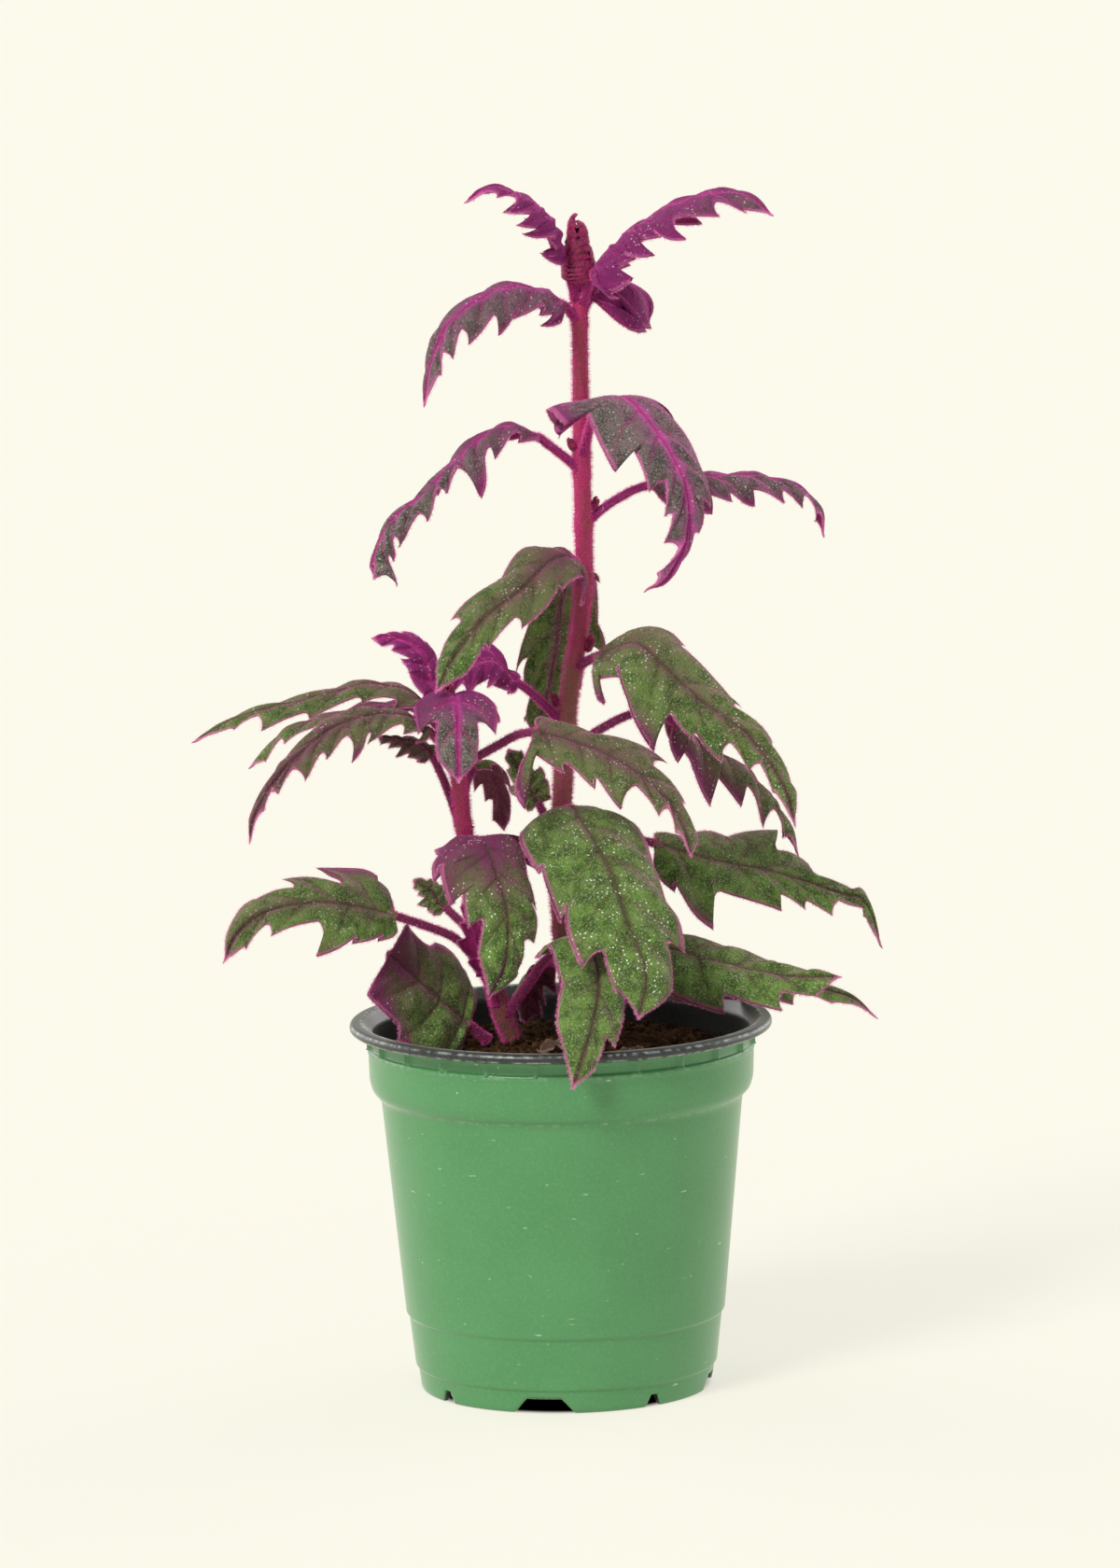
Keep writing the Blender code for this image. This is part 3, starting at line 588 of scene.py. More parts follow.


# Leaves. stem and at are the stem and the height in mm where the leaf joins it, stalk the share that
# is leafstalk, half the half width in mm, fold how far the halves bend down and roll the turn about
# the midrib, both in degrees. rib is the midrib's points in mm. left and right are tooth tips (place
# along the blade, reach as a share of half). blush is how purple the base and the tip are.
# Some leaves have their own full (1 a lobed margin, 0 a thorny one), notch (share of the reach that
# is left between teeth), ear (mm that the lowest lobes reach back), hook, curl or ruffle, and their
# own strength of specks, of the purple underside (under) or of the magenta hair sheen painted along
# the midrib (ridge).

leaves = {
    "mainLeaf01": dict(stem="main_stem", at=285, stalk=0.22, half=10, fold=70, roll=-20, blush=(0.9, 0.7),
                       rib=[(4, -3, 297), (1, -6, 306), (-6, -10, 312), (-14, -14, 315), (-20, -16, 312)],
                       left=[(0.12, 1.1), (0.24, 0.8), (0.36, 1.3), (0.48, 1.1), (0.58, 0.8),
                             (0.7, 0.35)],
                       notch=0.72, full=0.1),
    "mainLeaf02": dict(stem="main_stem", at=284, stalk=0.12, half=13, fold=70, roll=25, blush=(0.95, 0.35),
                       rib=[(13, -4, 294), (23, -8, 304), (36, -14, 311), (49, -19, 313), (57, -23, 308)],
                       right=[(0.05, 1.3), (0.14, 1.2), (0.24, 0.9), (0.31, 1.1), (0.4, 0.8),
                              (0.47, 1.1), (0.66, 0.7), (0.81, 0.5)],
                       notch=0.72, full=0.3),
    "mainLeaf03": dict(stem="main_stem", at=280, stalk=0.08, half=12, fold=75, roll=-15, blush=(0.5, 0.1),
                       rib=[(0, -6, 287), (-11, -12, 289), (-20, -17, 285), (-26, -20, 280),
                            (-30, -22, 271), (-32, -23, 261)],
                       left=[(0.1, 1.1), (0.17, 0.8), (0.3, 0.9), (0.43, 1.05), (0.56, 0.8),
                             (0.7, 0.5), (0.8, 0.3)],
                       notch=0.72, full=0.3),
    "mainLeaf04": dict(stem="main_stem", at=282, stalk=0.1, half=13, fold=60, roll=15, blush=(1.0, 0.9),
                       rib=[(14, 6, 288), (20, 12, 288), (24, 17, 284), (24, 20, 277)],
                       right=[(0.05, 1.4), (0.14, 1.1), (0.31, 1.3), (0.6, 0.9)],
                       full=0.8, notch=0.9),
    "mainLeaf05": dict(stem="main_stem", at=245, stalk=0.2, half=18, fold=24, roll=12, blush=(0.15, 0.3),
                       rib=[(12, -10, 257), (19, -18, 261), (27, -27, 253), (34, -33, 240),
                            (34, -35, 227), (29, -34, 217), (24, -32, 213)],
                       left=[(0.18, 1.15), (0.45, 0.6), (0.56, 0.65), (0.66, 0.35), (0.8, 0.15)],
                       right=[(0.05, 1.0), (0.17, 1.25), (0.36, 0.95), (0.48, 0.65), (0.6, 0.4),
                              (0.7, 0.35), (0.86, 0.12)],
                       full=0.7, notch=0.85, ear=6),
    "mainLeaf06": dict(stem="main_stem", at=241, stalk=0.18, half=10, fold=75, roll=-10, blush=(0.5, 0.0),
                       rib=[(0, -3, 247), (-5, -6, 251), (-12, -8, 253), (-21, -11, 248),
                            (-31, -14, 238), (-41, -16, 230), (-45, -17, 223), (-46, -17, 216)],
                       left=[(0.1, 0.6), (0.26, 0.85), (0.4, 1.45), (0.5, 0.5), (0.6, 0.8),
                             (0.75, 0.85), (0.85, 0.7), (0.94, 0.9)],
                       full=0.05, notch=0.6),
    "mainLeaf07": dict(stem="main_stem", at=227, stalk=0.25, half=9, fold=70, roll=10, blush=(0.3, 0.35),
                       rib=[(17, 6, 232), (26, 11, 235), (44, 18, 236), (55, 23, 235), (64, 26, 232),
                            (70, 28, 226), (71, 29, 219)],
                       right=[(0.1, 1.2), (0.23, 1.5), (0.33, 1.05), (0.43, 1.3), (0.59, 0.95),
                              (0.71, 0.75), (0.82, 0.4)],
                       notch=0.72, full=0.05),
    "mainLeaf08": dict(stem="main_stem", at=211, stalk=0.12, half=12, fold=40, roll=-35, blush=(0.5, 0.1),
                       rib=[(5, -4, 218), (-1, -12, 218), (-8, -18, 212), (-17, -24, 206),
                            (-25, -28, 197), (-30, -30, 188)],
                       left=[(0.05, 1.3), (0.25, 0.65), (0.45, 0.7), (0.64, 0.5), (0.8, 0.45)],
                       right=[(0.15, 0.9), (0.34, 0.85), (0.61, 0.8), (0.81, 0.45)],
                       full=0.7, notch=0.86),
    "mainLeaf09": dict(stem="main_stem", at=210, stalk=0.10, half=13, fold=30, roll=0, blush=(0.1, 0.0),
                       rib=[(5, 10, 213), (2, 18, 204), (0, 24, 189), (-3, 27, 175), (-6, 27, 168)],
                       under=0, ridge=1),
    "mainLeaf10": dict(stem="main_stem", at=189, stalk=0.08, half=15, fold=45, roll=35, blush=(0.3, 0.15),
                       rib=[(13, -3, 193), (21, -8, 196), (28, -13, 191), (38, -18, 182),
                            (50, -22, 173), (58, -25, 161), (61, -26, 151)],
                       left=[(0.1, 0.85), (0.23, 0.85), (0.51, 0.75), (0.67, 0.4), (0.83, 0.3)],
                       right=[(0.05, 1.1), (0.16, 0.7), (0.41, 1.25), (0.49, 0.65), (0.58, 0.7),
                              (0.7, 0.4), (0.82, 0.2)],
                       full=0.5, notch=0.82, specks=0.8),
    "mainLeaf11": dict(stem="main_stem", at=167, stalk=0.38, half=11, fold=55, roll=20, blush=(0.5, 0.25),
                       rib=[(17, 10, 174), (26, 15, 175), (34, 19, 169), (41, 22, 164), (51, 25, 156),
                            (60, 27, 144), (63, 28, 135)],
                       right=[(0.07, 1.2), (0.27, 1.9), (0.44, 1.25), (0.64, 1.0), (0.8, 0.5)],
                       notch=0.72, full=0.1),
    "mainLeaf12": dict(stem="main_stem", at=174, stalk=0.36, half=8, fold=45, roll=-30, blush=(1.0, 0.8),
                       rib=[(-5, 4, 181), (-11, 3, 186), (-16, 1, 191), (-22, -3, 190), (-29, -8, 185)],
                       ruffle=0.35, teeth=6, full=0.2),
    "mainLeaf13": dict(stem="main_stem", at=143, stalk=0.40, half=6, fold=30, roll=-50, blush=(0.2, 0.1),
                       rib=[(-4, 12, 150), (-8, 17, 157), (-12, 20, 164)]),
    "mainLeaf14": dict(stem="main_stem", at=142, stalk=0.20, half=16.5, fold=35, roll=5, blush=(0.1, 0.0),
                       rib=[(2, -4, 150), (4, -12, 154), (7, -22, 151), (13, -33, 142),
                            (17, -42, 131), (22, -49, 117), (20, -51, 106)],
                       left=[(0.1, 0.95), (0.33, 0.95), (0.49, 1.1), (0.67, 0.95), (0.82, 0.6)],
                       right=[(0.08, 1.0), (0.27, 1.05), (0.46, 1.1), (0.64, 0.95), (0.79, 0.6)],
                       full=1, notch=0.9, specks=1.6, ear=2, ridge=0.15),
    "mainLeaf15": dict(stem="main_stem", at=137, stalk=0.25, half=15, fold=25, roll=45, blush=(0.1, 0.0),
                       rib=[(12, 10, 142), (23, 13, 141), (40, 19, 135), (57, 26, 130), (74, 33, 123),
                            (80, 36, 120), (85, 39, 108)],
                       left=[(0.14, 0.5), (0.3, 0.85), (0.45, 1.4), (0.57, 0.65), (0.75, 0.3)],
                       right=[(0.1, 0.8), (0.22, 1.3), (0.45, 0.7), (0.55, 0.5), (0.65, 0.45),
                              (0.8, 0.2)],
                       full=0.5),
    "mainLeaf16": dict(stem="main_stem", at=116, stalk=0.30, half=12, fold=40, roll=30, blush=(0.1, 0.0),
                       rib=[(11, 2, 118), (24, -1, 116), (37, -4, 113), (49, -6, 110), (61, -8, 108),
                            (72, -9, 108)],
                       left=[(0.1, 1.0), (0.35, 1.15), (0.6, 0.9), (0.8, 0.5)],
                       right=[(0.12, 1.1), (0.4, 1.2), (0.65, 0.85), (0.82, 0.45)],
                       full=1, notch=0.93, ruffle=0.04),
    "mainLeaf17": dict(stem="main_stem", at=97, stalk=0.30, half=6, fold=30, roll=35, blush=(0.0, 0.1),
                       rib=[(10, 14, 99), (22, 18, 100), (39, 23, 103), (52, 26, 103), (61, 28, 101),
                            (69, 30, 98), (77, 32, 95), (83, 33, 90)],
                       left=[(0.1, 0.8), (0.2, 0.9), (0.3, 1.0), (0.4, 1.0), (0.5, 0.9), (0.7, 0.5)],
                       right=[(0.2, 1.3), (0.4, 1.3), (0.56, 1.2), (0.75, 0.5)],
                       full=0.7, notch=0.85),
    "mainLeaf18": dict(stem="main_stem", at=103, stalk=0.45, half=8, fold=30, roll=0, blush=(0.0, 0.0),
                       rib=[(0, 14, 108), (-4, 20, 108), (-8, 25, 101), (-9, 27, 92)]),
    "mainLeaf19": dict(stem="main_stem", at=138, stalk=0.30, half=12, fold=35, roll=0, blush=(0.1, 0.0),
                       rib=[(6, 20, 141), (11, 34, 137), (14, 44, 126), (15, 48, 112)]),
    "mainLeaf20": dict(stem="main_stem", at=120, stalk=0.30, half=10, fold=35, roll=0, blush=(0.1, 0.0),
                       rib=[(8, 22, 124), (14, 38, 118), (18, 50, 108), (20, 56, 100)]),
    "sideLeaf01": dict(stem="side_stem", at=179, stalk=0.20, half=6, fold=50, roll=-20, blush=(1.0, 1.0),
                       rib=[(-32, -13, 188), (-34, -13, 195), (-40, -12, 199), (-46, -11, 199)]),
    "sideLeaf02": dict(stem="side_stem", at=174, stalk=0.15, half=9, fold=50, roll=-25, blush=(0.45, 0.15),
                       rib=[(-35, -23, 185), (-47, -26, 189), (-63, -30, 186), (-79, -34, 183),
                            (-92, -37, 177)],
                       left=[(0.15, 0.8), (0.3, 0.7), (0.5, 0.65), (0.68, 0.8), (0.8, 0.3)],
                       full=0.3, notch=0.85),
    "sideLeaf03": dict(stem="side_stem", at=174, stalk=0.20, half=8, fold=50, roll=-10, blush=(0.7, 0.1),
                       rib=[(-37, -12, 181), (-48, -8, 181), (-58, -5, 178), (-70, -3, 174),
                            (-79, -2, 165)]),
    "sideLeaf04": dict(stem="side_stem", at=169, stalk=0.15, half=9, fold=55, roll=-30, blush=(0.3, 0.5),
                       rib=[(-36, -29, 180), (-46, -38, 183), (-58, -46, 180), (-70, -52, 170),
                            (-76, -55, 161), (-78, -56, 154)],
                       left=[(0.08, 0.8), (0.18, 0.7), (0.34, 0.9), (0.42, 1.25), (0.53, 0.7),
                             (0.64, 0.7), (0.76, 0.3), (0.85, 0.15)],
                       full=0.0, notch=0.62),
    "sideLeaf05": dict(stem="side_stem", at=178, stalk=0.15, half=12, fold=40, roll=0, blush=(1.1, -0.5),
                       rib=[(-26, -25, 186), (-25, -33, 182), (-25, -38, 174), (-25, -39, 166)],
                       left=[(0.1, 1.3), (0.42, 0.95), (0.68, 0.5)],
                       right=[(0.1, 1.3), (0.42, 0.95), (0.68, 0.5)],
                       full=0.8, notch=0.86),
    "sideLeaf06": dict(stem="side_stem", at=150, stalk=0.55, half=6, fold=40, roll=-10, blush=(0.5, 0.4),
                       rib=[(-29, -9, 161), (-33, -8, 169), (-38, -5, 171), (-45, -3, 172)]),
    "sideLeaf07": dict(stem="side_stem", at=166, stalk=0.28, half=13, fold=40, roll=35, blush=(0.35, 0.3),
                       rib=[(-16, -18, 171), (-8, -20, 175), (1, -23, 174), (15, -27, 169),
                            (27, -31, 160), (32, -34, 152), (34, -35, 145)],
                       right=[(0.06, 1.7), (0.2, 0.7), (0.35, 0.8), (0.5, 0.85), (0.68, 0.35),
                              (0.82, 0.15)],
                       notch=0.72, full=0.2),
    "sideLeaf08": dict(stem="side_stem", at=159, stalk=0.20, half=6, fold=20, roll=0, blush=(0.0, 0.0),
                       rib=[(-21, -8, 165), (-18, -2, 164), (-15, 2, 156), (-14, 3, 147)]),
    "sideLeaf09": dict(stem="side_stem", at=139, stalk=0.20, half=14, fold=35, roll=0, blush=(0.9, -0.5),
                       rib=[(-21, -18, 146), (-19, -25, 148), (-15, -33, 138), (-13, -36, 129),
                            (-14, -37, 118), (-18, -35, 109)],
                       left=[(0.07, 1.9), (0.3, 0.75), (0.45, 0.8), (0.6, 0.65), (0.75, 0.4)],
                       right=[(0.08, 0.9), (0.2, 1.2), (0.34, 1.05), (0.48, 0.8), (0.68, 0.55)],
                       full=0.7, notch=0.85, specks=1.2, ridge=0.3),
    "sideLeaf10": dict(stem="side_stem", at=109, stalk=0.38, half=14, fold=20, roll=-50, blush=(0.1, 0.3),
                       rib=[(-26, -8, 119), (-35, -12, 124), (-48, -17, 129), (-61, -22, 132),
                            (-74, -27, 131), (-82, -30, 126), (-86, -31, 119)],
                       left=[(0.1, 0.6), (0.23, 0.85), (0.37, 1.1), (0.62, 0.5), (0.8, 0.3)],
                       right=[(0.08, 1.2), (0.23, 1.6), (0.45, 0.8), (0.6, 0.5)],
                       full=0.4),
    "sideLeaf11": dict(stem="side_stem", at=120, stalk=0.45, half=5, fold=20, roll=-50, blush=(0.2, 0.0),
                       rib=[(-29, 1, 126), (-33, 6, 130), (-37, 10, 132)]),
    "sideLeaf12": dict(stem="side_stem", at=101, stalk=0.30, half=5, fold=40, roll=0, blush=(1.0, 1.0),
                       rib=[(-20, -9, 114), (-22, -13, 123), (-24, -14, 131)]),
    "sideLeaf13": dict(stem="side_stem", at=98, stalk=0.40, half=14.5, fold=35, roll=-20, blush=(0.0, 0.1),
                       rib=[(-8, -4, 107), (-4, -12, 114), (3, -24, 121), (7, -33, 122),
                            (10, -44, 114), (8, -54, 104), (3, -61, 90)],
                       left=[(0.12, 0.8), (0.41, 0.95), (0.66, 0.55), (0.8, 0.3)],
                       right=[(0.1, 0.9), (0.39, 0.7), (0.58, 0.7)],
                       full=0.8, notch=0.9),
    "baseLeaf01": dict(stem=None, at=0, stalk=0.20, half=15, fold=15, roll=-60, blush=(-0.3, 0.7),
                       rib=[(-19, 1, 91), (-28, -4, 100), (-36, -8, 108), (-44, -10, 116)],
                       left=[(0.2, 1.0), (0.5, 1.2), (0.78, 0.95)],
                       right=[(0.2, 1.0), (0.5, 1.2), (0.78, 0.95)],
                       hook=0, curl=0.3, full=1, notch=1.0, ruffle=0.04),
}

leafShape = {
    "stalkMm": 1.1, "thickMm": 0.42, "ribMm": 0.7,
    "stalkRows": 22, "bladeRows": 170, "across": 24,
    "teeth": 5, "notch": 0.84,        # teeth on each side, and how much of the reach a notch keeps
    "hook": 0.75,                     # how far a tooth's tip leans towards the leaf's tip
    "curlMm": 1.3, "ruffle": 0.10, "puckerMm": 1.0,
    "midribMm": 0.55, "veinMm": 0.45,
    "grooveMm": (0.22, 0.12),         # how deep veins lie in the upper and the lower face
    "edgeMm": 0.28, "paintedSheenMm": 1.3,   # how wide the pink rim and the painted hair sheen inside it are
    "sweep": 0.9, "back": 0.35,       # how far a half leans on at the tip, and back at the base
}
young = {"mainLeaf0%d" % k for k in range(1, 8)} | {"mainLeaf12", "sideLeaf01", "sideLeaf05", "sideLeaf12"}


def nodeOf(name):
    # mainLeaf01 stands for main_leaf_01
    return "".join("_" + c.lower() if c.isupper() else c for c in name[:-2]) + "_" + name[-2:]


def leafRoute(leaf, count):
    # the midrib, from inside the stem's skin or from the compost, to the tip
    points = np.array(leaf["rib"], float) * mm
    if leaf["stem"]:
        joint = stemPoint(leaf["stem"], leaf["at"] * mm)
        away = points[0] - joint
        away[2] = 0
        reach = stemRadius(leaf["stem"], leaf["at"] * mm) * 0.55
        points = np.vstack([joint + unit(away) * reach, points])
    return smoothRoute(points, count)


def bladeWidth(u):
    # u^0.45 (1 - u)^0.8, scaled to 1 at its widest
    return np.maximum(u, 0) ** 0.45 * np.maximum(1 - u, 0) ** 0.8 / (0.36**0.45 * 0.64**0.8)


def toothTips(leaf, which, rng):
    # listed tips, or tips at even steps with each second one smaller
    if which in leaf:
        return np.array(leaf[which], float).T
    count = leaf.get("teeth", leafShape["teeth"])
    places = np.linspace(0.09, 0.87, count) + rng.uniform(-0.25, 0.25, count) * 0.78 / count
    reach = bladeWidth(places) * (1.06 - 0.22 * (np.arange(count) % 2)) * rng.uniform(0.9, 1.1, count)
    return np.array([places, reach])


def marginReach(u, places, reach, notch, full):
    # Half width with teeth, and how near each place is to a tooth's tip. From a notch the margin
    # rises to the next tip: full mixes a lobe, the sine of a quarter turn to the power 0.8, with a
    # thorn, x^1.7. Then it falls back steeply, as (1 - x)^1.5.
    ends = np.r_[places, 1.0]
    gaps = np.diff(ends)
    notchPlaces = places + 0.24 * gaps
    notchReach = notch * np.minimum(reach, np.r_[reach[1:], reach[-1]])
    knots = np.r_[0.0, np.stack([places, notchPlaces], 1).ravel(), 1.0]
    heights = np.r_[0.25 * reach[0], np.stack([reach, notchReach], 1).ravel(), 0.0]
    k = np.clip(np.searchsorted(knots, u, "right") - 1, 0, len(knots) - 2)
    x = (u - knots[k]) / (knots[k + 1] - knots[k])
    rising = k % 2 == 0
    last = k == len(knots) - 2
    bulge = full * np.sin(pi / 2 * x) ** 0.8 + (1 - full) * x**1.7
    low, high = heights[k], heights[k + 1]
    width = np.where(rising, low + (high - low) * bulge, high + (low - high) * (1 - x) ** 1.5)
    width = np.where(last, low * (1 - x) ** 1.15, width)
    tipness = np.where(rising, x**4, (1 - x) ** 2) * ~last
    return width, tipness


def bladeMargins(leaf, u, v, rng):
    # For each place: its margin's reach, how near it is to a tooth's tip, and its phase, which counts
    # the lateral veins passed. A vein leaves the midrib a little before its tooth.
    notch, full = leaf.get("notch", leafShape["notch"]), leaf.get("full", 0.45)
    tips = {k: toothTips(leaf, k, rng) for k in ("left", "right")}
    inward = u + 0.13 * (1 - np.abs(v))
    reach, point, phase = {}, {}, {}
    for k, (places, tipReach) in tips.items():
        reach[k], point[k] = (a[:, None] for a in marginReach(u[:, 0], places, tipReach, notch, full))
        knots = np.r_[places[0] - 0.12, places, 1.12]
        phase[k] = np.interp(inward, knots, np.arange(len(knots)))
    lobes = np.maximum(reach["left"], reach["right"]) * leaf["half"] * mm
    chosen = [np.where(v > 0, a["left"], a["right"]) for a in (reach, point, phase)]
    return chosen, lobes, len(tips["left"][0])


def leafSkin(name, leaf):
    # One closed skin. On the stalk a ring is a circle. On the blade a ring runs over the upper face
    # and back under the lower: s = v × margin reach is the walk from the midrib, bent down round a
    # cylinder by angle fold × s / arc, so sideways = arc / fold × sin(angle) and
    # drop = arc / fold × (1 - cos(angle)). lift moves a place off the face, lean along the heading.
    shape = leafShape
    rng = np.random.default_rng(sum(map(ord, name)) * 7)
    route = leafRoute(leaf, 160)
    length = np.linalg.norm(np.diff(route, axis=0), axis=1).sum()
    stalk, half, fold = leaf["stalk"], leaf["half"] * mm, radians(leaf["fold"])
    bladeShares = stalk + (1 - stalk) * np.linspace(0, 1, shape["bladeRows"])
    shares = np.r_[np.linspace(0, stalk, shape["stalkRows"])[:-1], bladeShares]
    u = np.clip((shares - stalk) / (1 - stalk), 0, 1)[:, None]
    middle = atShare(route, shares)
    heading, sides, ups = (unit(atShare(f, shares)) for f in framesAlong(route))
    roll = (radians(leaf["roll"]) * np.clip(shares / stalk, 0, 1))[:, None]
    side = sides * np.cos(roll) + ups * np.sin(roll)
    up = ups * np.cos(roll) - sides * np.sin(roll)

    n = shape["across"]
    v = np.r_[np.linspace(1, -1, n + 1), np.linspace(-1, 1, n + 1)[1:-1]][None]
    face = np.r_[0, np.ones(n - 1), 0, -np.ones(n - 1)][None]
    middleShare = 1 - np.abs(v)
    (reach, point, phase), lobes, teeth = bladeMargins(leaf, u, v, rng)
    reach = reach * half
    arc = np.maximum(np.maximum(bladeWidth(u) * half, 0.8 * lobes), 0.0022)
    s = v * reach
    angle = np.clip(fold * s / arc, -2.4, 2.4)
    sideways, drop = arc / fold * np.sin(angle), arc / fold * (1 - np.cos(angle))
    away = np.abs(s) / arc

    toVein = np.abs(phase - np.round(phase)) * length * (1 - stalk) * 0.9 / (teeth + 1)
    lateral = np.exp(-(toVein / (shape["veinMm"] * mm)) ** 2) * (u > 0.02)
    lateral = lateral * np.clip(0.15 + middleShare, 0, 1)
    midrib = np.exp(-(s / (shape["midribMm"] * mm)) ** 2) * (u > 0)
    wave = rng.uniform(0, 2 * pi, 2)
    ruffle = (leaf.get("ruffle", shape["ruffle"]) * arc * away**2
              * np.sin(pi * phase + np.where(v > 0, wave[0], wave[1])))
    pucker = (shape["puckerMm"] * mm * np.sin(pi * phase) ** 2 * np.clip(arc / 0.008, 0.2, 1.2)
              * np.clip(4 * np.abs(v) * middleShare, 0, 1))
    thick = 0.5 * shape["thickMm"] * mm * (1 - np.abs(v) ** 4) * face
    ribSize = shape["ribMm"] * mm * (1 - 0.7 * u)
    under = -ribSize * np.exp(-(s / (1.1 * ribSize)) ** 2) * (face < 0)
    upper, lower = np.array(shape["grooveMm"]) * mm
    groove = -upper * (midrib + 0.7 * lateral) * (face > 0) - lower * lateral * (face < 0)
    curlSize = leaf.get("curl", 1) * shape["curlMm"] * mm * np.clip(arc / 0.006, 0.3, 1.3)
    lift = ruffle + pucker + thick + under + groove - curlSize * point * np.abs(v) ** 3
    ear = leaf.get("ear", 0) * mm * np.exp(-(u / 0.16) ** 2)
    hook = 0.42 * leaf.get("hook", shape["hook"]) * point * reach
    lean = (arc * (shape["sweep"] * u - shape["back"]) - ear + hook) * np.abs(v) ** 1.3
    skin = (aroundRoute(sideways + lift * np.sin(angle), lift * np.cos(angle) - drop, side, up)
            + lean[..., None] * heading[:, None])

    turn = np.r_[np.linspace(0, pi, n + 1), np.linspace(pi, 2 * pi, n + 1)[1:-1]][None]
    foot = 1 + 0.5 * np.exp(-shares * length / 0.0015)  # a stalk is thicker where it leaves the stem
    radius = (shape["stalkMm"] * mm * (1 - 0.25 * shares) * foot)[:, None]
    radius = radius * (1 - 0.6 * np.clip(u / 0.3, 0, 1))
    ring = aroundRoute(radius * np.cos(turn), radius * np.sin(turn), side, up)
    opening = np.clip(u / 0.05, 0, 1)
    opening = opening * opening * (3 - 2 * opening)
    grid = middle[:, None] + ring * (1 - opening)[..., None] + skin * opening[..., None]

    base, tip = leaf["blush"]
    # blush is the leaf's own purple, except its term near the midrib, 0.2 exp(-(away / 0.35)²), which is
    # painted hair sheen
    blush = base + (tip - base) * u + 0.2 * np.exp(-(away / 0.35) ** 2) + 0.3 * away**4
    marginMm = middleShare * reach / mm
    # painted sheen: how strong the magenta hair sheen painted along the midrib is, and inside the pink rim
    # along the margins
    ridge, rim = (1, 0.6) if name in young else (0.4, 0.3)
    fields = {
        "blush": np.where(u <= 0, 1, blush),
        "vein": np.maximum(midrib, 0.7 * lateral) * opening,
        "edge": np.exp(-(marginMm / shape["edgeMm"]) ** 2) * opening,
        "ridge": leaf.get("ridge", ridge) * np.exp(-(away / 0.13) ** 2)
        + rim * np.exp(-(marginMm / shape["paintedSheenMm"]) ** 2),
        "under": leaf.get("under", 1) * (face < 0) * np.ones_like(u),
        "specks": leaf.get("specks", 0.5) * np.ones_like(blush),
    }
    return grid, fields, rng


def marginFringe(line, outward, pink, rng):
    # hairs at random places along one margin, pointing away from the blade
    walked = np.r_[0, np.cumsum(np.linalg.norm(np.diff(line, axis=0), axis=1))]
    count = int(walked[-1] / mm * fringe["perMm"])
    spots = rng.random(count) * walked[-1]
    roots, out = (atShare(a, spots, walked) for a in (line, outward))
    headings = out + rng.normal(0, 0.35, (count, 3))
    lengths = rng.uniform(*fringe["lengthMm"], count) * mm
    return needles(roots, headings, lengths, fringe["thickMm"] * mm, pink * rng.uniform(0.7, 1.1, count))


def leafPiece(name, leaf):
    grid, fields, rng = leafSkin(name, leaf)
    rows, columns = grid.shape[:2]
    blade = slice(leafShape["stalkRows"] + 3, rows - 1)
    pink = 0.75 if name in young else 0.85
    normals = gridNormals(grid)
    parts = [(grid, capped(rows, columns), 0, fields)]
    for rim in (0, leafShape["across"]):
        parts.append(marginFringe(grid[blade, rim], normals[blade, rim], pink, rng))
    parts.append(hairsOver(grid[:leafShape["stalkRows"] + 6], rng, **velvet["stalk"]))
    onBlade = np.zeros((rows, columns))
    onBlade[leafShape["stalkRows"]:] = 1
    tone = 0.35 + 0.35 * (1 - np.clip(fields["blush"], 0, 1))
    parts.append(hairsOver(grid, rng, tone=tone, weight=onBlade, **velvet["blade"]))
    piece = makePiece(name, [p for p in parts if p], ["young" if name in young else "leaf", "hair"],
                      ("blush", "vein", "edge", "ridge", "under", "specks", "tone"))
    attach(piece, "root")
    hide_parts(nodeOf(name))
    return piece


def buildLeaves():
    for name, leaf in leaves.items():
        piece = leafPiece(name, leaf)
        low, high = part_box(nodeOf(name))
        co = np.array([c[:] for c in piece.bound_box])
        spill = max(np.max(np.array(low) - co.min(0)), np.max(co.max(0) - np.array(high))) / mm
        print(f"{name}: {len(piece.data.polygons)} faces, {spill:.1f} mm past its solid")


def buildStems():
    for name, spec in stems.items():
        grid = stemGrid(spec)
        rows, columns = grid.shape[:2]
        rng = np.random.default_rng(spec["seed"])
        heights, amount = zip(*spec["olive"])
        olive = np.interp(grid[..., 2] / mm, heights, amount)
        parts = [(grid, capped(rows, columns), 0, {"blush": olive}), hairsOver(grid, rng, **velvet["stem"])]
        piece = makePiece(name, parts, ["stem", "hair"], ("blush", "tone"))
        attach(piece, "root")
        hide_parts(spec["node"])
    print("stems:", len(stems))


# Buds

buds = {
    "topBud": dict(node="top_bud", foot=(8, 0, 288.6), heading=(-0.02, -0.12, 1.0), size=18.5, half=4.2,
                   scales=7),
    "sideBud": dict(node="side_bud", foot=(-27, -18, 181.6), heading=(-0.1, -0.2, 1.0), size=7.5, half=2.3,
                    scales=4),
    "axilBud01": dict(node="axil_bud_01", at=245.5, turn=215, size=3.9, half=1.25, scales=3),
    "axilBud02": dict(node="axil_bud_02", at=229.5, turn=20, size=3.9, half=1.25, scales=3),
    "axilBud03": dict(node="axil_bud_03", at=192.5, turn=-10, size=4.8, half=1.55, scales=3),
    "axilBud04": dict(node="axil_bud_04", at=178.0, turn=170, size=4.2, half=1.35, scales=3),
}


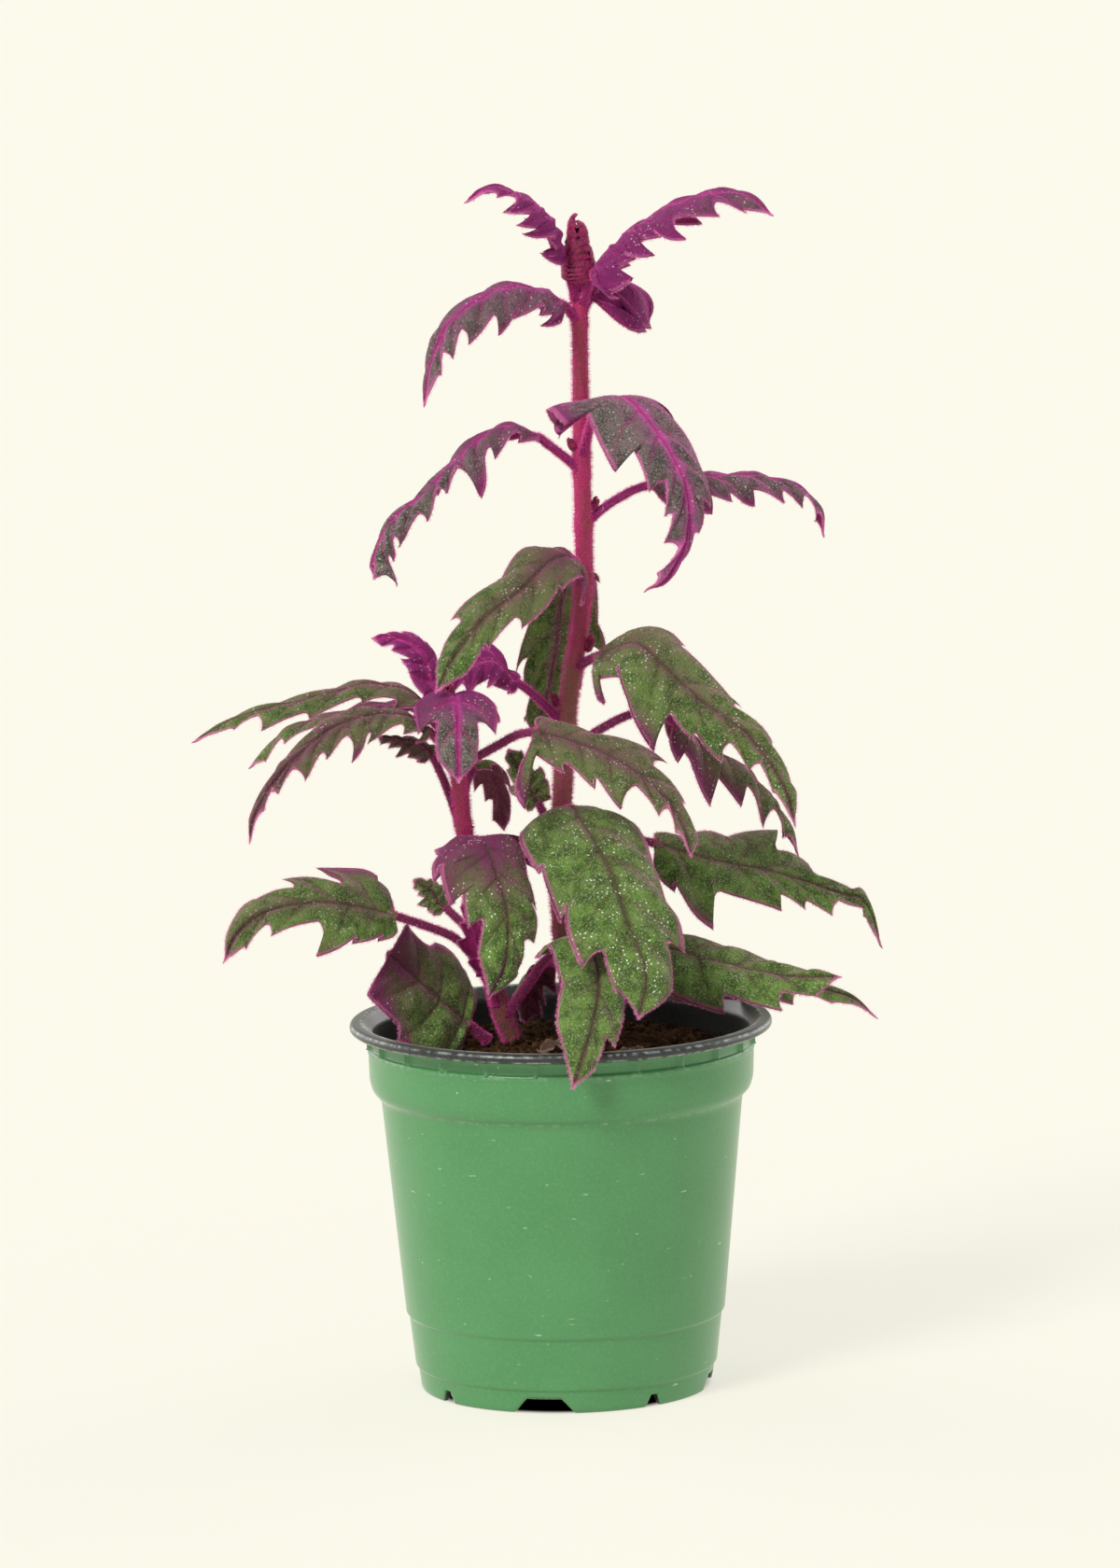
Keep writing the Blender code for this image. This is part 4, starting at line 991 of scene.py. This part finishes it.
def scaleGrid(foot, heading, turn, size, half, rng, rows=44, columns=16):
    # A tongue wrapped round the bud. Its half width is half × sqrt(sin(0.95 pi u^0.9 + 0.06)),
    # with teeth. It stands off by a bulge of 0.8 half × sqrt(1 - u^9), which grows over its first
    # fifth and closes at the tip.
    level = unit(np.cross(heading, (0.2, 1.0, 0.1)))
    other = np.cross(heading, level)
    out = cos(turn) * level + sin(turn) * other
    wide = -sin(turn) * level + cos(turn) * other
    u = np.linspace(0, 1, rows)[:, None]
    ringTurn = np.arange(columns) * 2 * pi / columns
    v, face = np.cos(ringTurn)[None], np.sin(ringTurn)[None]
    tooth = 1 - 0.22 * ((u * 7 + rng.random()) % 1)
    width = half * np.sin(pi * np.clip(u, 0, 1) ** 0.9 * 0.95 + 0.06) ** 0.5 * tooth
    bulge = half * 0.8 * np.sqrt(1 - u**9) * (0.35 + 0.65 * np.clip(u * 5, 0, 1))
    bend = 1.25 * v * tooth
    spot = (heading[None, None] * (u * size)[..., None]
            + out * ((bulge * np.cos(bend) + 0.22 * mm * face))[..., None]
            + wide * (width * np.sin(bend))[..., None])
    return foot + spot[:, ::-1]  # turned round so that its normals point outwards


def buildBuds():
    for name, bud in buds.items():
        rng = np.random.default_rng(sum(map(ord, name)))
        if "at" in bud:
            turn = radians(bud["turn"])
            outward = np.array([cos(turn), sin(turn), 0.0])
            height = bud["at"] * mm
            foot = stemPoint("main_stem", height) + outward * stemRadius("main_stem", height) * 1.15
            heading = unit(np.array([0.45 * cos(turn), 0.45 * sin(turn), 1.0]))
        else:
            foot, heading = np.array(bud["foot"]) * mm, unit(np.array(bud["heading"]))
        parts = []
        for k in range(bud["scales"]):
            share = 1 - 0.10 * k
            half = bud["half"] * mm * (0.75 + 0.1 * k)
            grid = scaleGrid(foot, heading, k * 2.4 + 0.6, bud["size"] * mm * share, half, rng)
            parts.append((grid, capped(*grid.shape[:2]), 0, {}))
            parts.append(hairsOver(grid, rng, **velvet["bud"]))
        piece = makePiece(name, [p for p in parts if p], ["bud", "hair"], ("tone",))
        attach(piece, "root")
        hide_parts(bud["node"])
    print("buds:", len(buds))


# Pot

pot = {
    "height": 0.097, "lip": 0.055, "lipInner": 0.0517, "lipThick": 0.0026, "collar": 0.0502,
    "collarBottom": 0.0785, "collarTop": 0.0895, "wallTop": 0.0470, "bandTop": 0.0195, "bandStep": 0.0007,
    "foot": 0.0380, "footHeight": 0.0056, "wall": 0.0011, "floorUnder": 0.0052,
    "notches": 8, "firstNotch": -81,   # degrees; wide and narrow notches take turns
    "wide": (0.0163, 0.0091, 0.0042), "narrow": (0.0050, 0.0020, 0.0033),  # below, above, height
    "gussets": 24, "gussetReach": 0.0011, "columns": 480,
}


def rounded(corners, steps=5):
    # corners are (radius, height, rounding): each is replaced by a small quadratic curve
    corners = np.array(corners, float)
    p, r = corners[:, :2], corners[:, 2]
    t = np.linspace(0, 1, steps)[:, None]
    line = [p[:1]]
    for k in range(1, len(p) - 1):
        before, after = p[k - 1] - p[k], p[k + 1] - p[k]
        a = p[k] + unit(before) * min(r[k], 0.45 * np.linalg.norm(before))
        b = p[k] + unit(after) * min(r[k], 0.45 * np.linalg.norm(after))
        line.append((1 - t) ** 2 * a + 2 * t * (1 - t) * p[k] + t**2 * b)
    return np.vstack(line + [p[-1:]])


def densified(line, step):
    # the line with points added so that no step is longer than step
    walked = np.r_[0, np.cumsum(np.linalg.norm(np.diff(line, axis=0), axis=1))]
    extra = np.arange(0, walked[-1], step)
    where = np.unique(np.r_[walked, extra])
    where = where[np.r_[True, np.diff(where) > 2e-5]]
    return np.stack([np.interp(where, walked, line[:, k]) for k in range(2)], 1)


def potOutline():
    # once round the wall's section: down the outside, under the floor, back up the inside
    p = pot
    slope = p["foot"] + 0.0036
    band, inside = slope - p["bandStep"], p["collar"] - p["wall"]
    underLip = p["height"] - p["lipThick"]
    outside = rounded([
        (p["lipInner"], p["height"] - 0.0001, 0), (p["lipInner"] + 0.0007, p["height"], 0.0005),
        (p["lip"] - 0.0008, p["height"], 0.0007), (p["lip"], p["height"] - 0.0008, 0.0006),
        (p["lip"], underLip + 0.0006, 0.0005), (p["lip"] - 0.0009, underLip, 0.0005),
        (p["collar"] + 0.0006, underLip - 0.0001, 0.0004), (p["collar"] - 0.0004, underLip - 0.0012, 0.0006),
        (p["collar"] - 0.0004, p["collarTop"] + 0.0014, 0.0003),
        (p["collar"] + 0.0003, p["collarTop"] + 0.0008, 0.0004),
        (p["collar"] + 0.0003, p["collarTop"], 0.0004),
        (p["collar"], p["collarTop"] - 0.0009, 0.0004),
        (p["collar"] - 0.0002, p["collarBottom"] + 0.0030, 0.0015),
        (p["collar"] - 0.0010, p["collarBottom"] + 0.0003, 0.0010),
        (p["wallTop"] + 0.0006, p["collarBottom"] - 0.0012, 0.0007),
        (p["wallTop"], p["collarBottom"] - 0.0026, 0.0012),
        (slope + 0.00005, p["bandTop"] + 0.0007, 0.0003), (band, p["bandTop"] - 0.0001, 0.0003),
        (band - 0.0001, p["bandTop"] - 0.0008, 0.0002),
        (p["foot"] + 0.0014, p["footHeight"] + 0.0007, 0.0003),
        (p["foot"] + 0.0007, p["footHeight"] + 0.0001, 0.0002), (p["foot"], 0.0003, 0.0003)])
    under = [(p["foot"] - 0.0003, 0), (p["foot"] - 0.0013, 0), (p["foot"] - 0.0016, 0.0003),
             (p["foot"] - 0.0010, p["floorUnder"]), (0.0004, p["floorUnder"])]
    inner = [(0.0004, p["floorUnder"] + p["wall"]), (p["foot"] - 0.0003, p["floorUnder"] + p["wall"]),
             (band - p["wall"], p["bandTop"]), (p["wallTop"] - p["wall"], p["collarBottom"] - 0.002),
             (inside - 0.0006, p["collarBottom"] + 0.0014), (inside, p["collarTop"]), (inside, underLip)]
    return densified(np.vstack([outside, under, inner, outside[:1]]), 0.0016)[:-1]


def potPiece():
    p = pot
    underLip = p["height"] - p["lipThick"]
    profile = potOutline()
    r, z = profile[:, 0][:, None], profile[:, 1][:, None]
    rows, columns = len(profile), p["columns"]
    turn = np.arange(columns)[None] * 2 * pi / columns
    # a notch lifts the foot ring's edge: full height in its middle, sloping at its two sides
    lifted = np.zeros_like(turn)
    for k in range(p["notches"]):
        bottom, top, height = p["narrow"] if k % 2 else p["wide"]
        off = (turn - radians(p["firstNotch"]) - k * 2 * pi / p["notches"] + pi) % (2 * pi) - pi
        x = np.clip((bottom / 2 - np.abs(off) * p["foot"]) / (bottom / 2 - top / 2), 0, 1)
        lifted = np.maximum(lifted, height * x**1.15)
    ring = (r > p["foot"] - 0.003) & (z < p["floorUnder"])
    z = np.where(ring, np.maximum(z, lifted * (1 - z / p["floorUnder"] * 0.15)), z + 0 * turn)
    # short ribs hold the lip from below
    outer = np.arange(rows)[:, None] < np.argmin(profile[:, 1])
    gusset = np.exp(-(((turn * p["gussets"] / (2 * pi)) % 1 - 0.5) / 0.045) ** 2)
    below = outer & (z < underLip - 0.0001) & (z > p["collarTop"] + 0.001) & (r > p["collar"] - 0.0007)
    r = r + gusset * p["gussetReach"] * below
    grid = np.stack([r * np.cos(-turn), r * np.sin(-turn), z + 0 * turn], -1)
    dark = ~outer | (z > p["collarTop"] + 0.0043)
    # painted highlights: pale glints along the lip's rounded edges and faint lines at the collar's ledges
    edges = [(p["lip"], p["height"] - 0.0004), (p["lip"] - 0.0002, underLip + 0.0002),
             (p["lipInner"] + 0.0003, p["height"])]
    wear = sum(np.exp(-(((r - a) ** 2 + (z - b) ** 2) / 0.00035**2)) for a, b in edges)
    wear = wear + 0.2 * np.exp(-((z - p["collarTop"] - 0.0004) / 0.0004) ** 2) * (r > p["collar"])
    wear = wear + 0.15 * np.exp(-((z - p["collarBottom"] + 0.0012) / 0.0004) ** 2) * (r > p["wallTop"])
    faces = [gridQuads(rows, columns), wrapRows(rows, columns)]
    fields = {"lining": dark * np.ones_like(turn), "wear": np.clip(wear, 0, 1)}
    piece = makePiece("nurseryPot", [(grid, faces, 0, fields)], ["pot"], ("lining", "wear"))
    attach(piece, "root")
    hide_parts("nursery_pot")
    print("pot:", len(piece.data.polygons), "faces")


def wrapRows(rows, columns):
    # the quads that join the last ring back to the first
    c = np.arange(columns)
    n = (c + 1) % columns
    last = (rows - 1) * columns
    return np.stack([last + c, last + n, n, c], -1)


# Compost, perlite and fallen leaves

compost = {
    "top": 0.0900, "edgeDrop": 0.0025, "bottom": 0.0066,
    "gap": 0.0005,                     # between the compost and the pot's wall
    "crumbs": 900, "crumbSize": (0.0004, 0.0013), "columns": 240, "seed": 31,
}


def soilHeight(radius):
    # the middle's height less edgeDrop × (radius / collar)²
    return compost["top"] - compost["edgeDrop"] * (radius / pot["collar"]) ** 2


def bumpy(x, y, seed, sizes=((0.006, 0.0007), (0.0025, 0.0005), (0.0011, 0.00025))):
    # sums of waves in random directions: each size gives waves of that length and height
    rng = np.random.default_rng(seed)
    total = 0
    for length, height in sizes:
        turns, shifts = rng.uniform(0, 2 * pi, (2, 7))
        waves = [np.sin((x * cos(a) + y * sin(a)) * 2 * pi / length + b) for a, b in zip(turns, shifts)]
        total = total + height * sum(waves) / sqrt(7)
    return total


def soilPiece():
    # rings of a mound, bumpy on top, and then rings down inside the pot's wall; crumbs lie on it
    columns, foot = compost["columns"], compost["bottom"]
    edge = pot["collar"] - pot["wall"] - compost["gap"]
    turn = np.arange(columns)[None] * 2 * pi / columns
    r = np.linspace(0.0005, edge, 90)[:, None]
    x, y = r * np.cos(turn), r * np.sin(turn)
    fade = np.clip((edge - r) / 0.002, 0, 1)
    top = np.stack([x, y, soilHeight(r) - 0.0006 + bumpy(x, y, compost["seed"]) * fade], -1)
    sides = np.array([(edge - 0.0006, 0.0805), (pot["wallTop"] - 0.0016, 0.0761), (0.0393, 0.0191),
                      (0.0370, foot), (0.0005, foot)])
    wide, high = sides[:, :1], sides[:, 1:]
    low = np.stack([wide * np.cos(turn), wide * np.sin(turn), high + 0 * turn], -1)
    grid = np.concatenate([top, low])[::-1]
    rng = np.random.default_rng(compost["seed"])
    parts = [(grid, capped(len(grid), columns), 0, {})]
    count = compost["crumbs"]
    away, around = edge * 0.97 * np.sqrt(rng.random(count)), rng.random(count) * 2 * pi
    size = rng.uniform(*compost["crumbSize"], count)
    corners, faces = lump(5)
    spots = np.stack([away * np.cos(around), away * np.sin(around), soilHeight(away) + size * 0.15], 1)
    squash = rng.uniform(0.45, 1.1, (count, 1, 3))
    turns = rng.uniform(0, 2 * pi, count)
    c, s = np.cos(turns)[:, None], np.sin(turns)[:, None]
    shaped = corners[None] * squash * size[:, None, None]
    shaped = np.stack([shaped[..., 0] * c - shaped[..., 1] * s, shaped[..., 0] * s + shaped[..., 1] * c,
                       shaped[..., 2]], -1)
    crumbFaces = faces[None] + np.arange(count)[:, None, None] * len(corners)
    parts.append((spots[:, None] + shaped, [crumbFaces.reshape(-1, 3)], 0, {}))
    piece = makePiece("compost", parts, ["soil"])
    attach(piece, "root")
    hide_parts("potting_soil")
    print("compost:", len(piece.data.polygons), "faces")


litter = {
    "dryLeaf01": dict(node="dry_leaf_01", half=5.2, curl=38,
                      rib=[(-6, -22, 91.5), (0, -20, 92.5), (7, -21, 91.5)]),
    "dryLeaf02": dict(node="dry_leaf_02", half=4.2, curl=32,
                      rib=[(12, -26, 91), (19, -25, 91.5), (26, -22, 91)]),
    "perlite01": dict(node="perlite_01", spot=(-26, -24), size=3.0),
    "perlite02": dict(node="perlite_02", spot=(-22, -34), size=2.2),
    "perlite03": dict(node="perlite_03", spot=(33, -24), size=2.2),
}


def dryGrid(spec, rows=60, n=16):
    # the leaf formula with its halves turned up, crinkled by random waves
    route = smoothRoute(spec["rib"], rows) * mm
    _, side, up = framesAlong(route)
    u = np.linspace(0, 1, rows)[:, None]
    v = np.r_[np.linspace(1, -1, n + 1), np.linspace(-1, 1, n + 1)[1:-1]][None]
    face = np.r_[0, np.ones(n - 1), 0, -np.ones(n - 1)][None]
    width = spec["half"] * mm * np.sin(pi * (0.04 + 0.92 * u)) ** 0.8 * (1 + 0.10 * np.sin(23 * u + 3 * v))
    angle = radians(spec["curl"]) * v
    across = np.sin(angle) / radians(spec["curl"]) * width
    lift = (1 - np.cos(angle)) / radians(spec["curl"]) * width
    lift = lift + 0.0002 * face + 0.0005 * np.sin(19 * u + 2) * np.abs(v) + 0.0003 * np.sin(41 * u * v + 1)
    grid = route[:, None] + aroundRoute(across, lift, side, up)
    edge = np.clip(3 * np.abs(v) - 2.2, 0, 1)
    return grid, {"vein": np.exp(-(v / 0.08) ** 2) + 0 * u, "edge": edge + 0 * u}


def buildLitter():
    for name, spec in litter.items():
        rng = np.random.default_rng(sum(map(ord, name)))
        if "rib" in spec:
            grid, given = dryGrid(spec)
            skin = (grid, capped(*grid.shape[:2]), 0, given)
            piece = makePiece(name, [skin], ["dry"], ("vein", "edge"))
        else:
            # a lattice ball with pitted sides: radius = size/2 times one plus random waves
            a = np.arange(28)[None] * 2 * pi / 28
            b = np.linspace(0.06, pi - 0.06, 18)[:, None]
            ball = np.stack([np.sin(b) * np.cos(a), np.sin(b) * np.sin(a), -np.cos(b) + 0 * a], -1)
            k = rng.normal(0, 1, (9, 3)) * 3.2
            dents = sum(np.sin(ball @ q + i) for i, q in enumerate(k)) / 9
            radius = spec["size"] * mm / 2 * (0.86 + 0.30 * dents)
            grid = ball * radius[..., None] * np.array([1, 0.85, 0.9])
            x, y = np.array(spec["spot"]) * mm
            grid = grid + np.array([x, y, soilHeight(np.hypot(x, y)) + spec["size"] * mm * 0.42])
            piece = makePiece(name, [(grid, capped(*grid.shape[:2]), 0, {})], ["perlite"])
        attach(piece, "root")
        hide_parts(spec["node"])
    print("litter:", len(litter))


def floorPiece():
    # a sweep 24 m across, a tenth of a millimetre under the pot's foot
    r, down = 12.0, -0.0001
    mesh = bpy.data.meshes.new("paperSweep")
    corners = [(-r, -r, down), (r, -r, down), (r, r, down), (-r, r, down)]
    mesh.from_pydata(corners, [], [(0, 1, 2, 3)])
    mesh.materials.append(finishes["floor"])
    floor = bpy.data.objects.new("paperSweep", mesh)
    bpy.context.scene.collection.objects.link(floor)


makeCamera()
makeLight()
floorPiece()
potPiece()
soilPiece()
buildLitter()
buildStems()
buildLeaves()
buildBuds()

view = bpy.context.scene.view_settings
view.view_transform, view.look = "Standard", "None"
